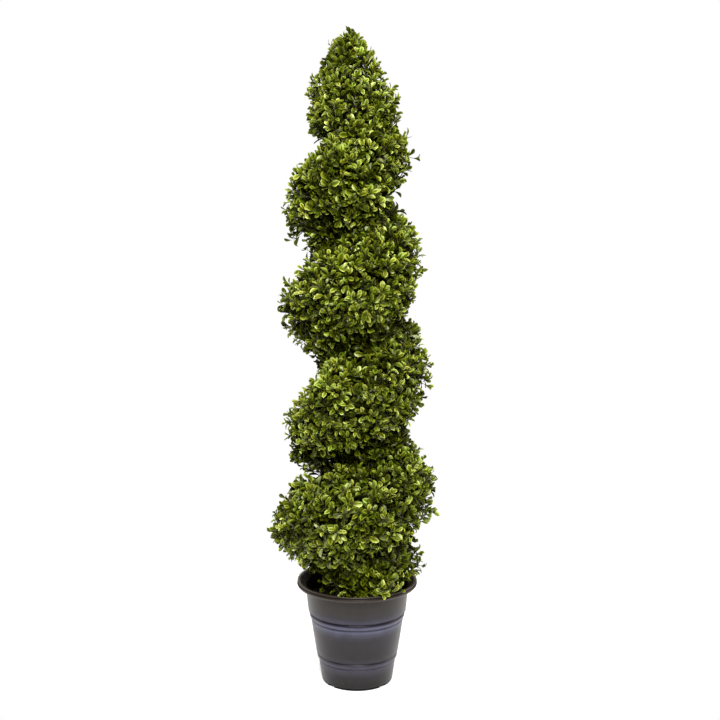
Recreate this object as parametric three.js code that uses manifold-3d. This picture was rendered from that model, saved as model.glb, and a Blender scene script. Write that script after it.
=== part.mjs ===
// An artificial boxwood trained as a spiral, 48 inches tall, in its moulded plastic pot.
// Millimetres, +Z up. The origin is the middle of the pot's flat underside, and the plant's front faces -Y.
import * as THREE from "three";
import { mergeVertices } from "three/addons/utils/BufferGeometryUtils.js";
import Module from "manifold-3d";

const wasm = await Module();
wasm.setup();

// Overall sizes
const TOTAL_HEIGHT = 1219.2; // 48 inches, from the floor to the topmost leaf
const POT_HEIGHT = 196.85; // 7.75 inches
const RIM_RADIUS = 114.3; // 9 inches across the rim
const CLEARANCE = 0.3; // between two pieces that touch
const TURN = 2 * Math.PI;

// The pot: a tapering wall in three sections, each stepping in at a moulded bead, under a grooved lip
const POT_SIDES = 36;
const BASE_THICKNESS = 6;
const WALL_THICKNESS = 2.6;
const FOOT_RADIUS = 66;
const LOWER_BEAD = { bottom: 43.5, top: 55, under: 73.1, low: 75.9, high: 77.1, over: 78.2 };
const UPPER_BEAD = { bottom: 124, top: 136, under: 87.9, low: 90.2, high: 91.4, over: 93.2 };
const SHOULDER_RADIUS = 98.4; // of the wall where it meets the lip
const THROAT_RADIUS = 95.4; // inside it
const LIP_UNDERSIDE = 187;
const LIP_GROOVE = { bottom: 191.4, top: 195.4, depth: 2.2 };
const MOUTH_RADIUS = 100.5;
const FILL_TOP = 165;
const RIM_ROOM = 2; // kept free between the foliage and the pot
const NOTCH = { count: 4, width: 14, height: 4, inner: 58 }; // drain slots under the edge

// The trunk: a straight tapering pole that leans a little to the left, -X
const LEAN = -0.0125; // sideways per unit of height
const TRUNK_SIDES = 12;
const TRUNK_FOOT = FILL_TOP + CLEARANCE;
const TRUNK_TIP = 1165;
const TRUNK_JOINTS = [7, 15, 26, 300, 600, 840]; // heights above its foot where its sides bend
const TRUNK_FLARE = { radius: 15.5, height: 26 };
const TRUNK_FOOT_RADIUS = 11.5;
const TRUNK_TIP_RADIUS = 4;

// The spiral: one thick strand of foliage that climbs anticlockwise round the trunk.
// A place on it is given in turns: turn 0 is at the right, +X, and each whole turn climbs by the pitch.
const PITCH = 200;
const HEIGHT_AT_TURN_0 = 200;
const FIRST_TURN = -0.5;
const LAST_TURN = 4.3;
const MASSES_IN_SPIRAL = 15;
const INNER_SHARE = 0.38; // the strand's centre line, as a share of the spiral's outer radius
const HALF_THICKNESS = 94; // of the strand, up and down, with its leaves
const HALF_THICKNESS_AT_TOP = 72;
const ROUNDNESS = 2.3; // of the strand's section: 2 is an ellipse, more is squarer
const STAND_OUT = 25; // how far the leaves stand out of the dense core, sideways
const STAND_UP = 12; // and up and down
const SLICES = 4; // of a mass's core, along the strand
const SECTION_SIDES = 9; // of a core's outline, from above its centre round the outside to below it
const CORE_ARC = 1.24 * Math.PI;
const TRUNK_ROOM = 5; // left free between the trunk and a core

// How far the leaves reach from the trunk's middle, by height
const REACH = [
  [85, 93], [150, 97], [200, 127], [250, 150], [300, 167], [400, 158], [500, 145], [600, 152], [700, 144],
  [800, 140], [900, 134], [1000, 124], [1060, 110], [1100, 96], [1126, 84], [1170, 57], [1195, 38],
  [TOTAL_HEIGHT, 12],
];

// The crown: the pointed mass above the last turn
const CROWN_FLOOR = 88; // above the last turn's centre line
const CROWN_CORE = [[985, 34], [1030, 52], [1085, 70], [1120, 57], [1160, 35], [1188, 10]]; // [height, radius]
const CROWN_SIDES = 12;
const CROWN_STAND_OUT = 20;

// Leaves and twigs, larger than life so that fewer of them fill the outline
const LEAF_LENGTH = 33;
const CROWN_LEAF_LENGTH = 26;
const LEAF_WIDTH_SHARE = 0.56;
const LEAF_THICKNESS = 1.4;
const LEAF_SPACING = 0.6; // between two leaves' tips, as a share of a leaf's length
const LEAVES_PER_TWIG = 4;
const TWIG_RADIUS = 2.8;
const TWIG_TIP_RADIUS = 2.2;
const TWIG_ROOT = 9; // how deep a twig is sunk in the core
const STEM_RADIUS = 4.5;
const TWIG_ROWS = 3; // of twigs along a mass
const TWIGS_PER_ROW = 3; // round its section
const TWIG_ARC = 0.84 * Math.PI;
const TWIG_SHORTEST = 0.35; // as a share of how far the leaves stand out
const TWIG_SPREAD = 0.2;
const CROWN_TWIGS = 14;
const LOWEST_CROWN_TWIG = 1055;
const GOLDEN_TURN = 0.382; // from one twig of the crown to the next
const TRIES = 14; // ways tried for a leaf before it is skipped

const LEAF_GREEN = new THREE.MeshStandardMaterial({ color: 0x5f7a1c, roughness: 0.5, metalness: 0 });
const BARK_BROWN = new THREE.MeshStandardMaterial({ color: 0x4a3a28, roughness: 0.85, metalness: 0 });
const POT_CHARCOAL = new THREE.MeshStandardMaterial({ color: 0x4a4648, roughness: 0.5, metalness: 0 });
const FILL_GREY = new THREE.MeshStandardMaterial({ color: 0x2a2620, roughness: 0.95, metalness: 0 });

// A repeatable stream of numbers from 0 to 1.
function seeded(seed) {
  let state = seed >>> 0;
  return () => {
    state = (state + 0x6d2b79f5) >>> 0;
    let mixed = Math.imul(state ^ (state >>> 15), state | 1);
    mixed = (mixed + Math.imul(mixed ^ (mixed >>> 7), mixed | 61)) ^ mixed;
    return ((mixed ^ (mixed >>> 14)) >>> 0) / 4294967296;
  };
}

// The value at x on the broken line through a list of [x, value] pairs.
function along(pairs, x) {
  const next = pairs.findIndex(([at]) => at >= x);
  if (next === 0) return pairs[0][1];
  if (next < 0) return pairs[pairs.length - 1][1];
  const [[x0, v0], [x1, v1]] = [pairs[next - 1], pairs[next]];
  return v0 + ((v1 - v0) * (x - x0)) / (x1 - x0);
}

// A closed three.js geometry as a solid, with faces that collapsed to a line left out.
function toSolid(geometry) {
  const bare = geometry.clone();
  bare.deleteAttribute("normal");
  bare.deleteAttribute("uv");
  const merged = mergeVertices(bare, 1e-4);
  const corners = merged.index.array;
  const kept = [];
  for (let i = 0; i < corners.length; i += 3) {
    const [a, b, c] = [corners[i], corners[i + 1], corners[i + 2]];
    if (a !== b && b !== c && c !== a) kept.push(a, b, c);
  }
  const vertProperties = new Float32Array(merged.attributes.position.array);
  return new wasm.Manifold(new wasm.Mesh({ numProp: 3, vertProperties, triVerts: new Uint32Array(kept) }));
}

function toGeometry(solid) {
  const { vertProperties, triVerts } = solid.getMesh();
  const geometry = new THREE.BufferGeometry();
  geometry.setAttribute("position", new THREE.BufferAttribute(new Float32Array(vertProperties), 3));
  geometry.setIndex(new THREE.BufferAttribute(new Uint32Array(triVerts), 1));
  return geometry;
}

// A closed geometry through rings of points, each ring running anticlockwise as seen from the last one.
function loft(rings) {
  const sides = rings[0].length;
  const points = rings.flat();
  const corners = [];
  for (let ring = 0; ring + 1 < rings.length; ring++) {
    for (let i = 0; i < sides; i++) {
      const [a, b] = [ring * sides + i, ring * sides + ((i + 1) % sides)];
      corners.push(a, b, b + sides, a, b + sides, a + sides);
    }
  }
  const last = (rings.length - 1) * sides;
  for (let i = 1; i + 1 < sides; i++) {
    corners.push(0, i + 1, i);
    corners.push(last, last + i, last + i + 1);
  }
  return new THREE.BufferGeometry().setFromPoints(points).setIndex(corners);
}

// A profile of [radius, height] points turned about the Z axis.
function turned(profile, sides) {
  const points = profile.map(([radius, height]) => new THREE.Vector2(radius, height));
  return new THREE.LatheGeometry(points, sides).rotateX(Math.PI / 2);
}

// A moulded bead: the wall steps out under it, and out again over the pinch above it.
function bead({ bottom, top, under, low, high, over }) {
  return [[under, bottom], [low, bottom + 2], [high, top - 2], [high - 1, top], [over, top + 2.5]];
}

function potInnerRadius(height) {
  const floorRadius = FOOT_RADIUS - WALL_THICKNESS - 1;
  const share = (height - BASE_THICKNESS) / (LIP_UNDERSIDE - 1 - BASE_THICKNESS);
  return floorRadius + (THROAT_RADIUS - floorRadius) * Math.min(1, Math.max(0, share));
}

function makePot() {
  const outside = [
    [0, 0], [FOOT_RADIUS, 0], [FOOT_RADIUS + 2, 3],
    ...bead(LOWER_BEAD), ...bead(UPPER_BEAD), [SHOULDER_RADIUS, LIP_UNDERSIDE],
    [RIM_RADIUS - 2, LIP_UNDERSIDE], [RIM_RADIUS, LIP_UNDERSIDE + 2], [RIM_RADIUS - 0.3, LIP_GROOVE.bottom],
    [RIM_RADIUS - LIP_GROOVE.depth, (LIP_GROOVE.bottom + LIP_GROOVE.top) / 2], [RIM_RADIUS - 0.8, LIP_GROOVE.top],
    [RIM_RADIUS - 2.5, POT_HEIGHT],
  ];
  const throat = LIP_UNDERSIDE - 1;
  const inside = [
    [RIM_RADIUS - 6, POT_HEIGHT - 0.8], [MOUTH_RADIUS, LIP_UNDERSIDE + 3.3],
    [potInnerRadius(throat), throat], [potInnerRadius(BASE_THICKNESS), BASE_THICKNESS], [0, BASE_THICKNESS],
  ];
  let pot = toSolid(turned([...outside, ...inside], POT_SIDES));
  const length = FOOT_RADIUS + 10 - NOTCH.inner;
  for (let i = 0; i < NOTCH.count; i++) {
    const notch = new THREE.BoxGeometry(length, NOTCH.width, 2 * NOTCH.height);
    notch.translate(NOTCH.inner + length / 2, 0, 0);
    notch.rotateZ(TURN * ((i + 0.5) / NOTCH.count));
    pot = pot.subtract(toSolid(notch));
  }
  return pot;
}

function makeFill() {
  const floor = BASE_THICKNESS + CLEARANCE;
  const gap = 2 * CLEARANCE; // the pot's flat-sided wall comes a little closer than its corners
  const [low, high] = [potInnerRadius(floor) - gap, potInnerRadius(FILL_TOP) - gap];
  return toSolid(turned([[0, floor], [low, floor], [high, FILL_TOP], [0, FILL_TOP]], POT_SIDES));
}

function trunkRadius(height) {
  const share = (height - TRUNK_FOOT) / (TRUNK_TIP - TRUNK_FOOT);
  const pole = TRUNK_FOOT_RADIUS + (TRUNK_TIP_RADIUS - TRUNK_FOOT_RADIUS) * share;
  const flare = Math.max(0, 1 - (height - TRUNK_FOOT) / TRUNK_FLARE.height);
  return pole + (TRUNK_FLARE.radius - TRUNK_FOOT_RADIUS) * flare ** 2;
}

// The trunk, upright, or with a margin the room it needs.
function makeTrunk(margin = 0) {
  const joints = TRUNK_JOINTS.map((rise) => TRUNK_FOOT + rise);
  const heights = [TRUNK_FOOT - margin, ...joints, TRUNK_TIP + margin];
  const rings = heights.map((height) => {
    const radius = trunkRadius(Math.max(height, TRUNK_FOOT)) + margin;
    return Array.from({ length: TRUNK_SIDES }, (_, i) => polar(radius, (i + 0.5) / TRUNK_SIDES, height));
  });
  return toSolid(loft(rings));
}

// A point at a radius from the trunk's middle, a direction in turns and a height.
function polar(radius, turn, height) {
  return new THREE.Vector3(radius * Math.cos(TURN * turn), radius * Math.sin(TURN * turn), height);
}

// The room that the pot, its rim and the fill need.
function makePotRoom() {
  const [floor, top] = [FILL_TOP + RIM_ROOM / 2, POT_HEIGHT + RIM_ROOM];
  const [low, high] = [potInnerRadius(floor) - RIM_ROOM, potInnerRadius(top) - RIM_ROOM];
  const outer = 2 * RIM_RADIUS;
  return toSolid(turned([[0, 0], [outer, 0], [outer, top], [high, top], [low, floor], [0, floor]], POT_SIDES));
}

// The strand's section at a turn: its centre's radius and height, and its half width and half thickness.
function section(turn, standOut = 0, standUp = 0) {
  const height = HEIGHT_AT_TURN_0 + PITCH * turn;
  const reach = along(REACH, height);
  const centre = reach * INNER_SHARE;
  const halfThickness = along([[985, HALF_THICKNESS], [1085, HALF_THICKNESS_AT_TOP]], height);
  return { centre, height, halfWidth: reach - centre - standOut, halfThickness: halfThickness - standUp };
}

// One point of the core's outline: angle 0 is outwards and a quarter of a turn is up.
function corePoint(turn, angle, sideways = 0) {
  const { centre, height, halfWidth, halfThickness } = section(turn, STAND_OUT, STAND_UP);
  const rounded = (value) => Math.sign(value) * Math.abs(value) ** (2 / ROUNDNESS);
  const innermost = trunkRadius(height) + TRUNK_ROOM;
  const radius = Math.max(innermost, centre + halfWidth * rounded(Math.cos(angle)));
  const point = polar(radius, turn, height + halfThickness * rounded(Math.sin(angle)));
  return point.add(polar(sideways, turn + 0.25, 0));
}

// The dense core of the strand between two turns, as a loft of half-round sections.
function makeCore(from, to) {
  const rings = [];
  for (let slice = 0; slice <= SLICES; slice++) {
    const turn = from + ((to - from) * slice) / SLICES;
    const sideways = slice === 0 ? CLEARANCE : slice === SLICES ? -CLEARANCE : 0;
    const ring = [];
    for (let i = 0; i < SECTION_SIDES; i++) {
      ring.push(corePoint(turn, (0.5 - i / (SECTION_SIDES - 1)) * CORE_ARC, sideways));
    }
    rings.push(ring.reverse());
  }
  return toSolid(loft(rings.reverse()));
}

// A slim limb with few sides between two points.
function makeLimb(from, to, fromRadius, toRadius, sides) {
  const direction = to.clone().sub(from);
  const limb = new THREE.CylinderGeometry(toRadius, fromRadius, direction.length(), sides);
  limb.translate(0, direction.length() / 2, 0);
  const turnTo = new THREE.Quaternion().setFromUnitVectors(new THREE.Vector3(0, 1, 0), direction.normalize());
  return limb.applyQuaternion(turnTo).translate(from.x, from.y, from.z);
}

// An obovate leaf of eight faces: narrow at its root, widest past its middle, with its tip curling back.
function makeLeaf(root, direction, face, length) {
  const across = new THREE.Vector3().crossVectors(direction, face).normalize();
  const up = new THREE.Vector3().crossVectors(across, direction).normalize();
  const axes = new THREE.Matrix4().makeBasis(across, direction, up).setPosition(root);
  const at = (x, y, z) => new THREE.Vector3(x, y, z).applyMatrix4(axes);
  const halfWidth = (length * LEAF_WIDTH_SHARE) / 2;
  const edge = 0.03 * length;
  const tip = at(0, length, -0.05 * length);
  const outline = [at(halfWidth, 0.64 * length, edge), tip, at(-halfWidth, 0.64 * length, edge)];
  const ridge = [at(0, 0.55 * length, LEAF_THICKNESS / 2), at(0, 0.55 * length, -LEAF_THICKNESS / 2)];
  const corners = [0, 1, 4, 1, 2, 4, 2, 3, 4, 3, 0, 4, 1, 0, 5, 2, 1, 5, 3, 2, 5, 0, 3, 5];
  const geometry = new THREE.BufferGeometry().setFromPoints([root, ...outline, ...ridge]).setIndex(corners);
  return { geometry, outline, tip };
}

// True where a point stays out of the pot, the fill and the trunk.
function clearOfLimbs(point) {
  const radius = Math.hypot(point.x, point.y);
  if (point.z < FILL_TOP + RIM_ROOM || point.z > TOTAL_HEIGHT) return false;
  if (point.z < POT_HEIGHT + RIM_ROOM && radius > potInnerRadius(point.z) - RIM_ROOM) return false;
  return point.z > TRUNK_TIP + 2 || radius > trunkRadius(point.z) + 1.5;
}

// The turn nearest to a given one at which the strand passes a point's direction.
function turnOf(point, near) {
  const turn = Math.atan2(point.y, point.x) / TURN;
  return turn + Math.round(near - turn);
}

// The space of the strand between two turns: inside its reach, and clear of the lengths beside it.
function strandSpace(from, to) {
  const [start, end] = [polar(1, from, 0), polar(1, to, 0)];
  return (point) => {
    if (start.x * point.y - start.y * point.x < 2 * CLEARANCE) return false;
    if (point.x * end.y - point.y * end.x < 2 * CLEARANCE) return false;
    const turn = turnOf(point, (from + to) / 2);
    const { centre, height, halfWidth, halfThickness } = section(turn);
    const rise = point.z - height;
    const ceiling = turn + 1 > LAST_TURN ? CROWN_FLOOR : PITCH / 2;
    if (rise > ceiling - 1 || rise < 1 - PITCH / 2) return false;
    const across = Math.max(0, Math.hypot(point.x, point.y) - centre) / halfWidth;
    return across ** ROUNDNESS + Math.abs(rise / halfThickness) ** ROUNDNESS < 1;
  };
}

// The crown's space: above the strand's last turn and inside the reach.
function crownSpace(point) {
  const radius = Math.hypot(point.x, point.y);
  const turn = turnOf(point, LAST_TURN - 0.5);
  const fromEnd = Math.abs(LAST_TURN - 0.5 - turn) - 0.5;
  const besideEnd = Math.abs(fromEnd) * TURN * radius < 5 * CLEARANCE;
  const floor = HEIGHT_AT_TURN_0 + PITCH * (besideEnd ? LAST_TURN : turn) + CROWN_FLOOR;
  return point.z > floor + 1 && radius < along(REACH, point.z);
}

// Adds a twig that stands out of a mass's core, with leaves set round it and one at its tip.
function growTwig(mass, { surface, outward, length, leafLength }) {
  const free = (point) => clearOfLimbs(point) && mass.space(point);
  const at = (distance) => surface.clone().addScaledVector(outward, distance);
  if (!free(at(length))) return;
  mass.solid = mass.solid.add(toSolid(makeLimb(at(-TWIG_ROOT), at(length), TWIG_RADIUS, TWIG_TIP_RADIUS, 3)));
  const aside = new THREE.Vector3(0.31, 0.52, 0.79).cross(outward).normalize();
  const spin = mass.random();
  for (let i = 0; i < LEAVES_PER_TWIG; i++) {
    const atTip = i === LEAVES_PER_TWIG - 1;
    const root = at(length * (atTip ? 0.93 : 0.25 + 0.2 * i));
    for (let attempt = 0; attempt < TRIES; attempt++) {
      const splay = (atTip ? 0.1 : 0.75) + (0.8 * attempt) / TRIES + 0.25 * mass.random();
      const turn = spin + i / (LEAVES_PER_TWIG - 1) + 0.03 * attempt * (mass.random() - 0.5);
      const side = aside.clone().applyAxisAngle(outward, TURN * turn);
      const direction = outward.clone().multiplyScalar(Math.cos(splay)).addScaledVector(side, Math.sin(splay));
      const face = outward.clone().multiplyScalar(Math.sin(splay)).addScaledVector(side, -Math.cos(splay));
      const size = leafLength * (0.9 + 0.25 * mass.random()) * (1 - (0.35 * attempt) / TRIES);
      const leaf = makeLeaf(root, direction, face, size);
      const crowded = mass.leafTips.some((tip) => tip.distanceTo(leaf.tip) < LEAF_SPACING * size);
      if (crowded || !leaf.outline.every(free)) continue;
      mass.solid = mass.solid.add(toSolid(leaf.geometry));
      mass.leafTips.push(leaf.tip);
      break;
    }
  }
}

// The largest whole piece of a mass once its limbs' room is cut out: a scrap left loose is dropped.
function trim(mass, ...rooms) {
  const cut = rooms.reduce((solid, room) => solid.subtract(room), mass.solid);
  return cut.decompose().sort((a, b) => b.volume() - a.volume())[0];
}

// One length of the spiral: a stem from the trunk, a dense core, and leafy twigs that stand out of it.
function makeSpiralMass(number) {
  const step = (LAST_TURN - FIRST_TURN) / MASSES_IN_SPIRAL;
  const [from, to] = [FIRST_TURN + step * number, FIRST_TURN + step * (number + 1)];
  const middle = (from + to) / 2;
  const { centre, height } = section(middle);
  const stemHeight = Math.max(height, FILL_TOP + 3 * STEM_RADIUS);
  const stem = [polar(0, middle, stemHeight), polar(centre, middle, stemHeight)];
  const mass = {
    solid: makeCore(from, to).add(toSolid(makeLimb(...stem, STEM_RADIUS, STEM_RADIUS, 6))),
    space: strandSpace(from, to),
    random: seeded(211 + number),
    leafTips: [],
  };
  for (let row = 0; row < TWIG_ROWS; row++) {
    for (let i = 0; i < TWIGS_PER_ROW; i++) {
      const turn = from + ((to - from) * (row + 0.5 + 0.3 * (mass.random() - 0.5))) / TWIG_ROWS;
      const lift = (i + 0.5 + (row % 2 ? 0.2 : -0.2)) / TWIGS_PER_ROW;
      const angle = (0.5 - lift) * TWIG_ARC;
      const outward = polar(Math.cos(angle), turn, Math.sin(angle) + 0.15).normalize();
      const length = STAND_OUT * (TWIG_SHORTEST + TWIG_SPREAD * mass.random());
      growTwig(mass, { surface: corePoint(turn, angle), outward, length, leafLength: LEAF_LENGTH });
    }
  }
  return trim(mass, makeTrunk(CLEARANCE), makePotRoom());
}

// The room that the last turn of the strand needs under the crown.
function makeLastTurnRoom() {
  const slices = 32;
  const overrun = 0.004; // of a turn, past each end
  const headroom = 4; // as the room's flat facets dip a little below the helix
  const rings = [];
  for (let slice = 0; slice <= slices; slice++) {
    const turn = LAST_TURN - 1 - overrun + ((1 + 2 * overrun) * slice) / slices;
    const height = HEIGHT_AT_TURN_0 + PITCH * turn;
    const [floor, ceiling] = [height - PITCH / 2, height + CROWN_FLOOR + headroom];
    const [inner, outer] = [1, 2 * RIM_RADIUS];
    const corners = [[outer, floor], [outer, ceiling], [inner, ceiling], [inner, floor]];
    rings.push(corners.map(([radius, z]) => polar(radius, turn, z)));
  }
  return toSolid(loft(rings.reverse()));
}

// The pointed mass round the trunk's tip.
function makeCrown() {
  const [foot, top] = [CROWN_CORE[0][0], CROWN_CORE[CROWN_CORE.length - 1][0]];
  const profile = [[0, foot], ...CROWN_CORE.map(([height, radius]) => [radius, height]), [0, top + 3]];
  const mass = {
    solid: toSolid(turned(profile, CROWN_SIDES)),
    space: crownSpace,
    random: seeded(7),
    leafTips: [],
  };
  for (let i = 0; i < CROWN_TWIGS; i++) {
    const share = (i + 0.5) / CROWN_TWIGS;
    const height = LOWEST_CROWN_TWIG + (top - LOWEST_CROWN_TWIG) * share ** 0.85;
    const turn = GOLDEN_TURN * i;
    const surface = polar(along(CROWN_CORE, height), turn, height);
    const outward = polar(1, turn, 0.35 + 0.6 * share).normalize();
    const length = CROWN_STAND_OUT * (TWIG_SHORTEST + TWIG_SPREAD * mass.random());
    growTwig(mass, { surface, outward, length, leafLength: CROWN_LEAF_LENGTH });
  }
  const lastNode = TOTAL_HEIGHT - CROWN_LEAF_LENGTH;
  const leaderTip = polar(0, 0, lastNode + 0.12 * CROWN_LEAF_LENGTH);
  const leader = makeLimb(polar(0, 0, top - TWIG_ROOT), leaderTip, TWIG_RADIUS, TWIG_TIP_RADIUS, 3);
  const [up, forward] = [new THREE.Vector3(0, 0, 1), new THREE.Vector3(0, -1, 0)];
  const lastLeaf = makeLeaf(polar(0, 0, lastNode), up, forward, CROWN_LEAF_LENGTH);
  mass.solid = mass.solid.add(toSolid(leader)).add(toSolid(lastLeaf.geometry));
  return trim(mass, makeTrunk(CLEARANCE), makeLastTurnRoom());
}

// A solid as a named mesh. What grows on the trunk leans with it.
function toMesh(name, solid, material, leans) {
  const geometry = toGeometry(solid);
  if (leans) {
    const shift = new THREE.Matrix4().set(1, 0, LEAN, -LEAN * TRUNK_FOOT, 0, 1, 0, 0, 0, 0, 1, 0, 0, 0, 0, 1);
    geometry.applyMatrix4(shift);
  }
  const mesh = new THREE.Mesh(geometry, material);
  mesh.name = name;
  return mesh;
}

const topiary = new THREE.Group();
topiary.add(toMesh("pot", makePot(), POT_CHARCOAL, false));
topiary.add(toMesh("pot_fill", makeFill(), FILL_GREY, false));
topiary.add(toMesh("trunk", makeTrunk(), BARK_BROWN, true));
for (let number = 0; number < MASSES_IN_SPIRAL; number++) {
  const name = `spiral_mass_${String(number + 1).padStart(2, "0")}`;
  topiary.add(toMesh(name, makeSpiralMass(number), LEAF_GREEN, true));
}
topiary.add(toMesh("crown_mass", makeCrown(), LEAF_GREEN, true));

export default topiary;
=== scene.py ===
"""An artificial boxwood trained as a spiral, 48 inches tall, in its moulded plastic pot.

Metres, +Z up. The origin is the middle of the pot's flat underside, and the plant's front faces -Y.
The pot, its fill and the trunk are turned or lofted from named profiles. The foliage grows by one rule:
a strand winds up round the trunk, boughs follow its middle, twigs stand out of it, and leaves sit on them.
"""
import math

import bpy
import numpy as np
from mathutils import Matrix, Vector, noise


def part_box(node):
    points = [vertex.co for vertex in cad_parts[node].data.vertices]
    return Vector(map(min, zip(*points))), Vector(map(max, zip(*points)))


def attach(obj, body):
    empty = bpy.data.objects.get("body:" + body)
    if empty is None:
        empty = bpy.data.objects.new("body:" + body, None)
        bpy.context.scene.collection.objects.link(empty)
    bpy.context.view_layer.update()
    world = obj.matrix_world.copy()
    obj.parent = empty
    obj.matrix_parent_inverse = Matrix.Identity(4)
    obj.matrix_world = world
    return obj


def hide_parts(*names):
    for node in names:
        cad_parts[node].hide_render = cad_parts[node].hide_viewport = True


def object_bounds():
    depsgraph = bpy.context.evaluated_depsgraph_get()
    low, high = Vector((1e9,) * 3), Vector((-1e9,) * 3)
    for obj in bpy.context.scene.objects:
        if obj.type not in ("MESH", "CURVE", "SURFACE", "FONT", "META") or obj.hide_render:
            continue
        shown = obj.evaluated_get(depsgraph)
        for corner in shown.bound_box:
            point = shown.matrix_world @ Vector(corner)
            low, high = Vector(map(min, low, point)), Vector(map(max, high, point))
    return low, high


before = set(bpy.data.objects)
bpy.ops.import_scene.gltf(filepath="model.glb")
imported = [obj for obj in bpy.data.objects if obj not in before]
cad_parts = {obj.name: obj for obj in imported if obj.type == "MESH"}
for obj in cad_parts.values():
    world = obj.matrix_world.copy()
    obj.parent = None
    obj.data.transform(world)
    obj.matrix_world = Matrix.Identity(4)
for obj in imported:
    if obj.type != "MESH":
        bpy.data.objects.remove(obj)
cad_low, cad_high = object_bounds()

MM = 0.001
TURN = 2 * math.pi

# Overall sizes, from the frame
TOTAL_HEIGHT = cad_high.z
POT_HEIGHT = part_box("pot")[1].z
RIM_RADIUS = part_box("pot")[1].x
FILL_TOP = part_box("pot_fill")[1].z
TRUNK_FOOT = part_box("trunk")[0].z
TRUNK_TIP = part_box("trunk")[1].z
MASSES = sorted(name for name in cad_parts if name.endswith("_mass") or "_mass_" in name)

# The camera stands in front of the plant, a little above its middle height, and looks slightly down.
CAMERA_DISTANCE = 2.0
CAMERA_HEIGHT = 0.861
CAMERA_ASIDE = 0.0055
CAMERA_PITCH = math.radians(7.0)
CAMERA_LENS = 54.16

# The studio: how bright its surround is as a light, the light from its ceiling, its floor and its softboxes
SURROUND_LIGHT = 0.16
CEILING_LIGHT = 2.7  # W/m2, straight down
CEILING_SPREAD = math.radians(100)
FLOOR_HALF = 0.62  # a small board, so that little light comes back up under the leaves
SOFTBOXES = [  # name, place, aim, size, watts, colour
    ("key_light", (0.1, -2.0, 1.9), (0, 0, 0.6), 0.5, 88, "ffffff"),
    ("left_strip", (-1.7, 0.5, 0.6), (0, 0, 0.3), 1.1, 13, "fffaf0"),
    ("right_strip", (1.7, 0.5, 0.6), (0, 0, 0.3), 1.1, 17, "fffaf0"),
    ("back_light", (0, 2.4, 1.5), (0, 0, 0.7), 1.5, 24, "fffaf0"),
]

# The pot: a tapering wall in three sections, each stepping in at a moulded bead, under a grooved lip
POT_SEGMENTS = 192
POT_CREASE = math.radians(38)  # the pot shows an edge where it bends by more
FILLET_POINTS = 5  # on each rounded corner of its profile
FILLET_MOST = 0.48  # as a share of the shorter side at the corner
BASE_THICKNESS = 6 * MM
WALL_THICKNESS = 2.6 * MM
FOOT_RADIUS = 66 * MM
LOWER_BEAD = {  # where it starts and ends, and the radius under it, at its foot, at its crest and over it
    "bottom": 43.5 * MM, "top": 55 * MM,
    "under": 73.1 * MM, "low": 75.9 * MM, "high": 77.1 * MM, "over": 78.2 * MM,
}
UPPER_BEAD = {
    "bottom": 124 * MM, "top": 136 * MM,
    "under": 87.9 * MM, "low": 90.2 * MM, "high": 91.4 * MM, "over": 93.2 * MM,
}
BEAD_GROOVE = 0.8 * MM
SHOULDER_RADIUS = 98.4 * MM  # of the wall where it meets the lip
THROAT_RADIUS = 95.4 * MM  # inside it
LIP_UNDERSIDE = 187 * MM
LIP_GROOVE = {"bottom": 191.4 * MM, "top": 195.4 * MM, "depth": 2.2 * MM}
MOUTH_RADIUS = 100.5 * MM
NOTCH = {"count": 4, "width": 14 * MM, "height": 4 * MM, "inner": 58 * MM}  # drain slots under the edge

# The fill: a plug with a lumpy top, and moss strands on it
FILL_GAP = 0.6 * MM  # between it and the pot's wall
FILL_RINGS = 22
FILL_SEGMENTS = 96
FILL_DROP = 3 * MM  # from its highest place down to its brim
LUMP_SIZE = 14 * MM
MOSS_STEPS = 7  # along a strand
MOSS_CURL = (6 * MM, 2.6 * MM, 4 * MM)  # how far a strand runs, sways and rises
MOSS_RADII = (0.45 * MM, 0.2 * MM)
MOSS_DENSITY = 24000.0  # strands to a square metre
MOSS_SEED = 5

# The trunk leans a little to the left, -X.
LEAN = -0.0125
TRUNK_FOOT_RADIUS = 11.5 * MM
TRUNK_TIP_RADIUS = 4 * MM
TRUNK_FLARE = {"radius": 15.5 * MM, "height": 26 * MM}
TRUNK_SIDES = 40
TRUNK_STEP = 5 * MM
BARK_RELIEF = 0.9 * MM
BARK_CREASE = math.radians(60)
FURROWS = (3.2, 38 * MM)  # how fast they change round the trunk, and how far they run up it
FURROW_DEPTH = 1.3  # as a share of the relief
KNOTS = (0.8, 60 * MM)  # in the same way
KNOT_RARITY = 0.35
KNOT_HEIGHT = 2.0

# The spiral: one thick strand of foliage that climbs anticlockwise round the trunk.
# Turn 0 is at the right, +X, and each whole turn climbs by the pitch.
PITCH = 0.2
HEIGHT_AT_TURN_0 = 0.2
FIRST_TURN = -0.5
LAST_TURN = 4.3
MASSES_IN_SPIRAL = 15
ROUNDNESS = 2.3  # of its section: 2 is an ellipse, more is squarer
BOUGH_SHARE = 0.38  # where the bough runs, as a share of the spiral's outer radius
# By height: how far out its section's middle is, as a share of its twigs' reach, and half its thickness
INNER_SHARES = [(0.2, 0.55), (0.4, 0.52), (0.6, 0.42), (0.8, 0.45), (1.0, 0.36)]
HALF_THICKNESSES = [(0.985, 0.1), (1.085, 0.078)]
STRAND_CORE = 12 * MM  # none of its sprays ends nearer to the axis

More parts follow.
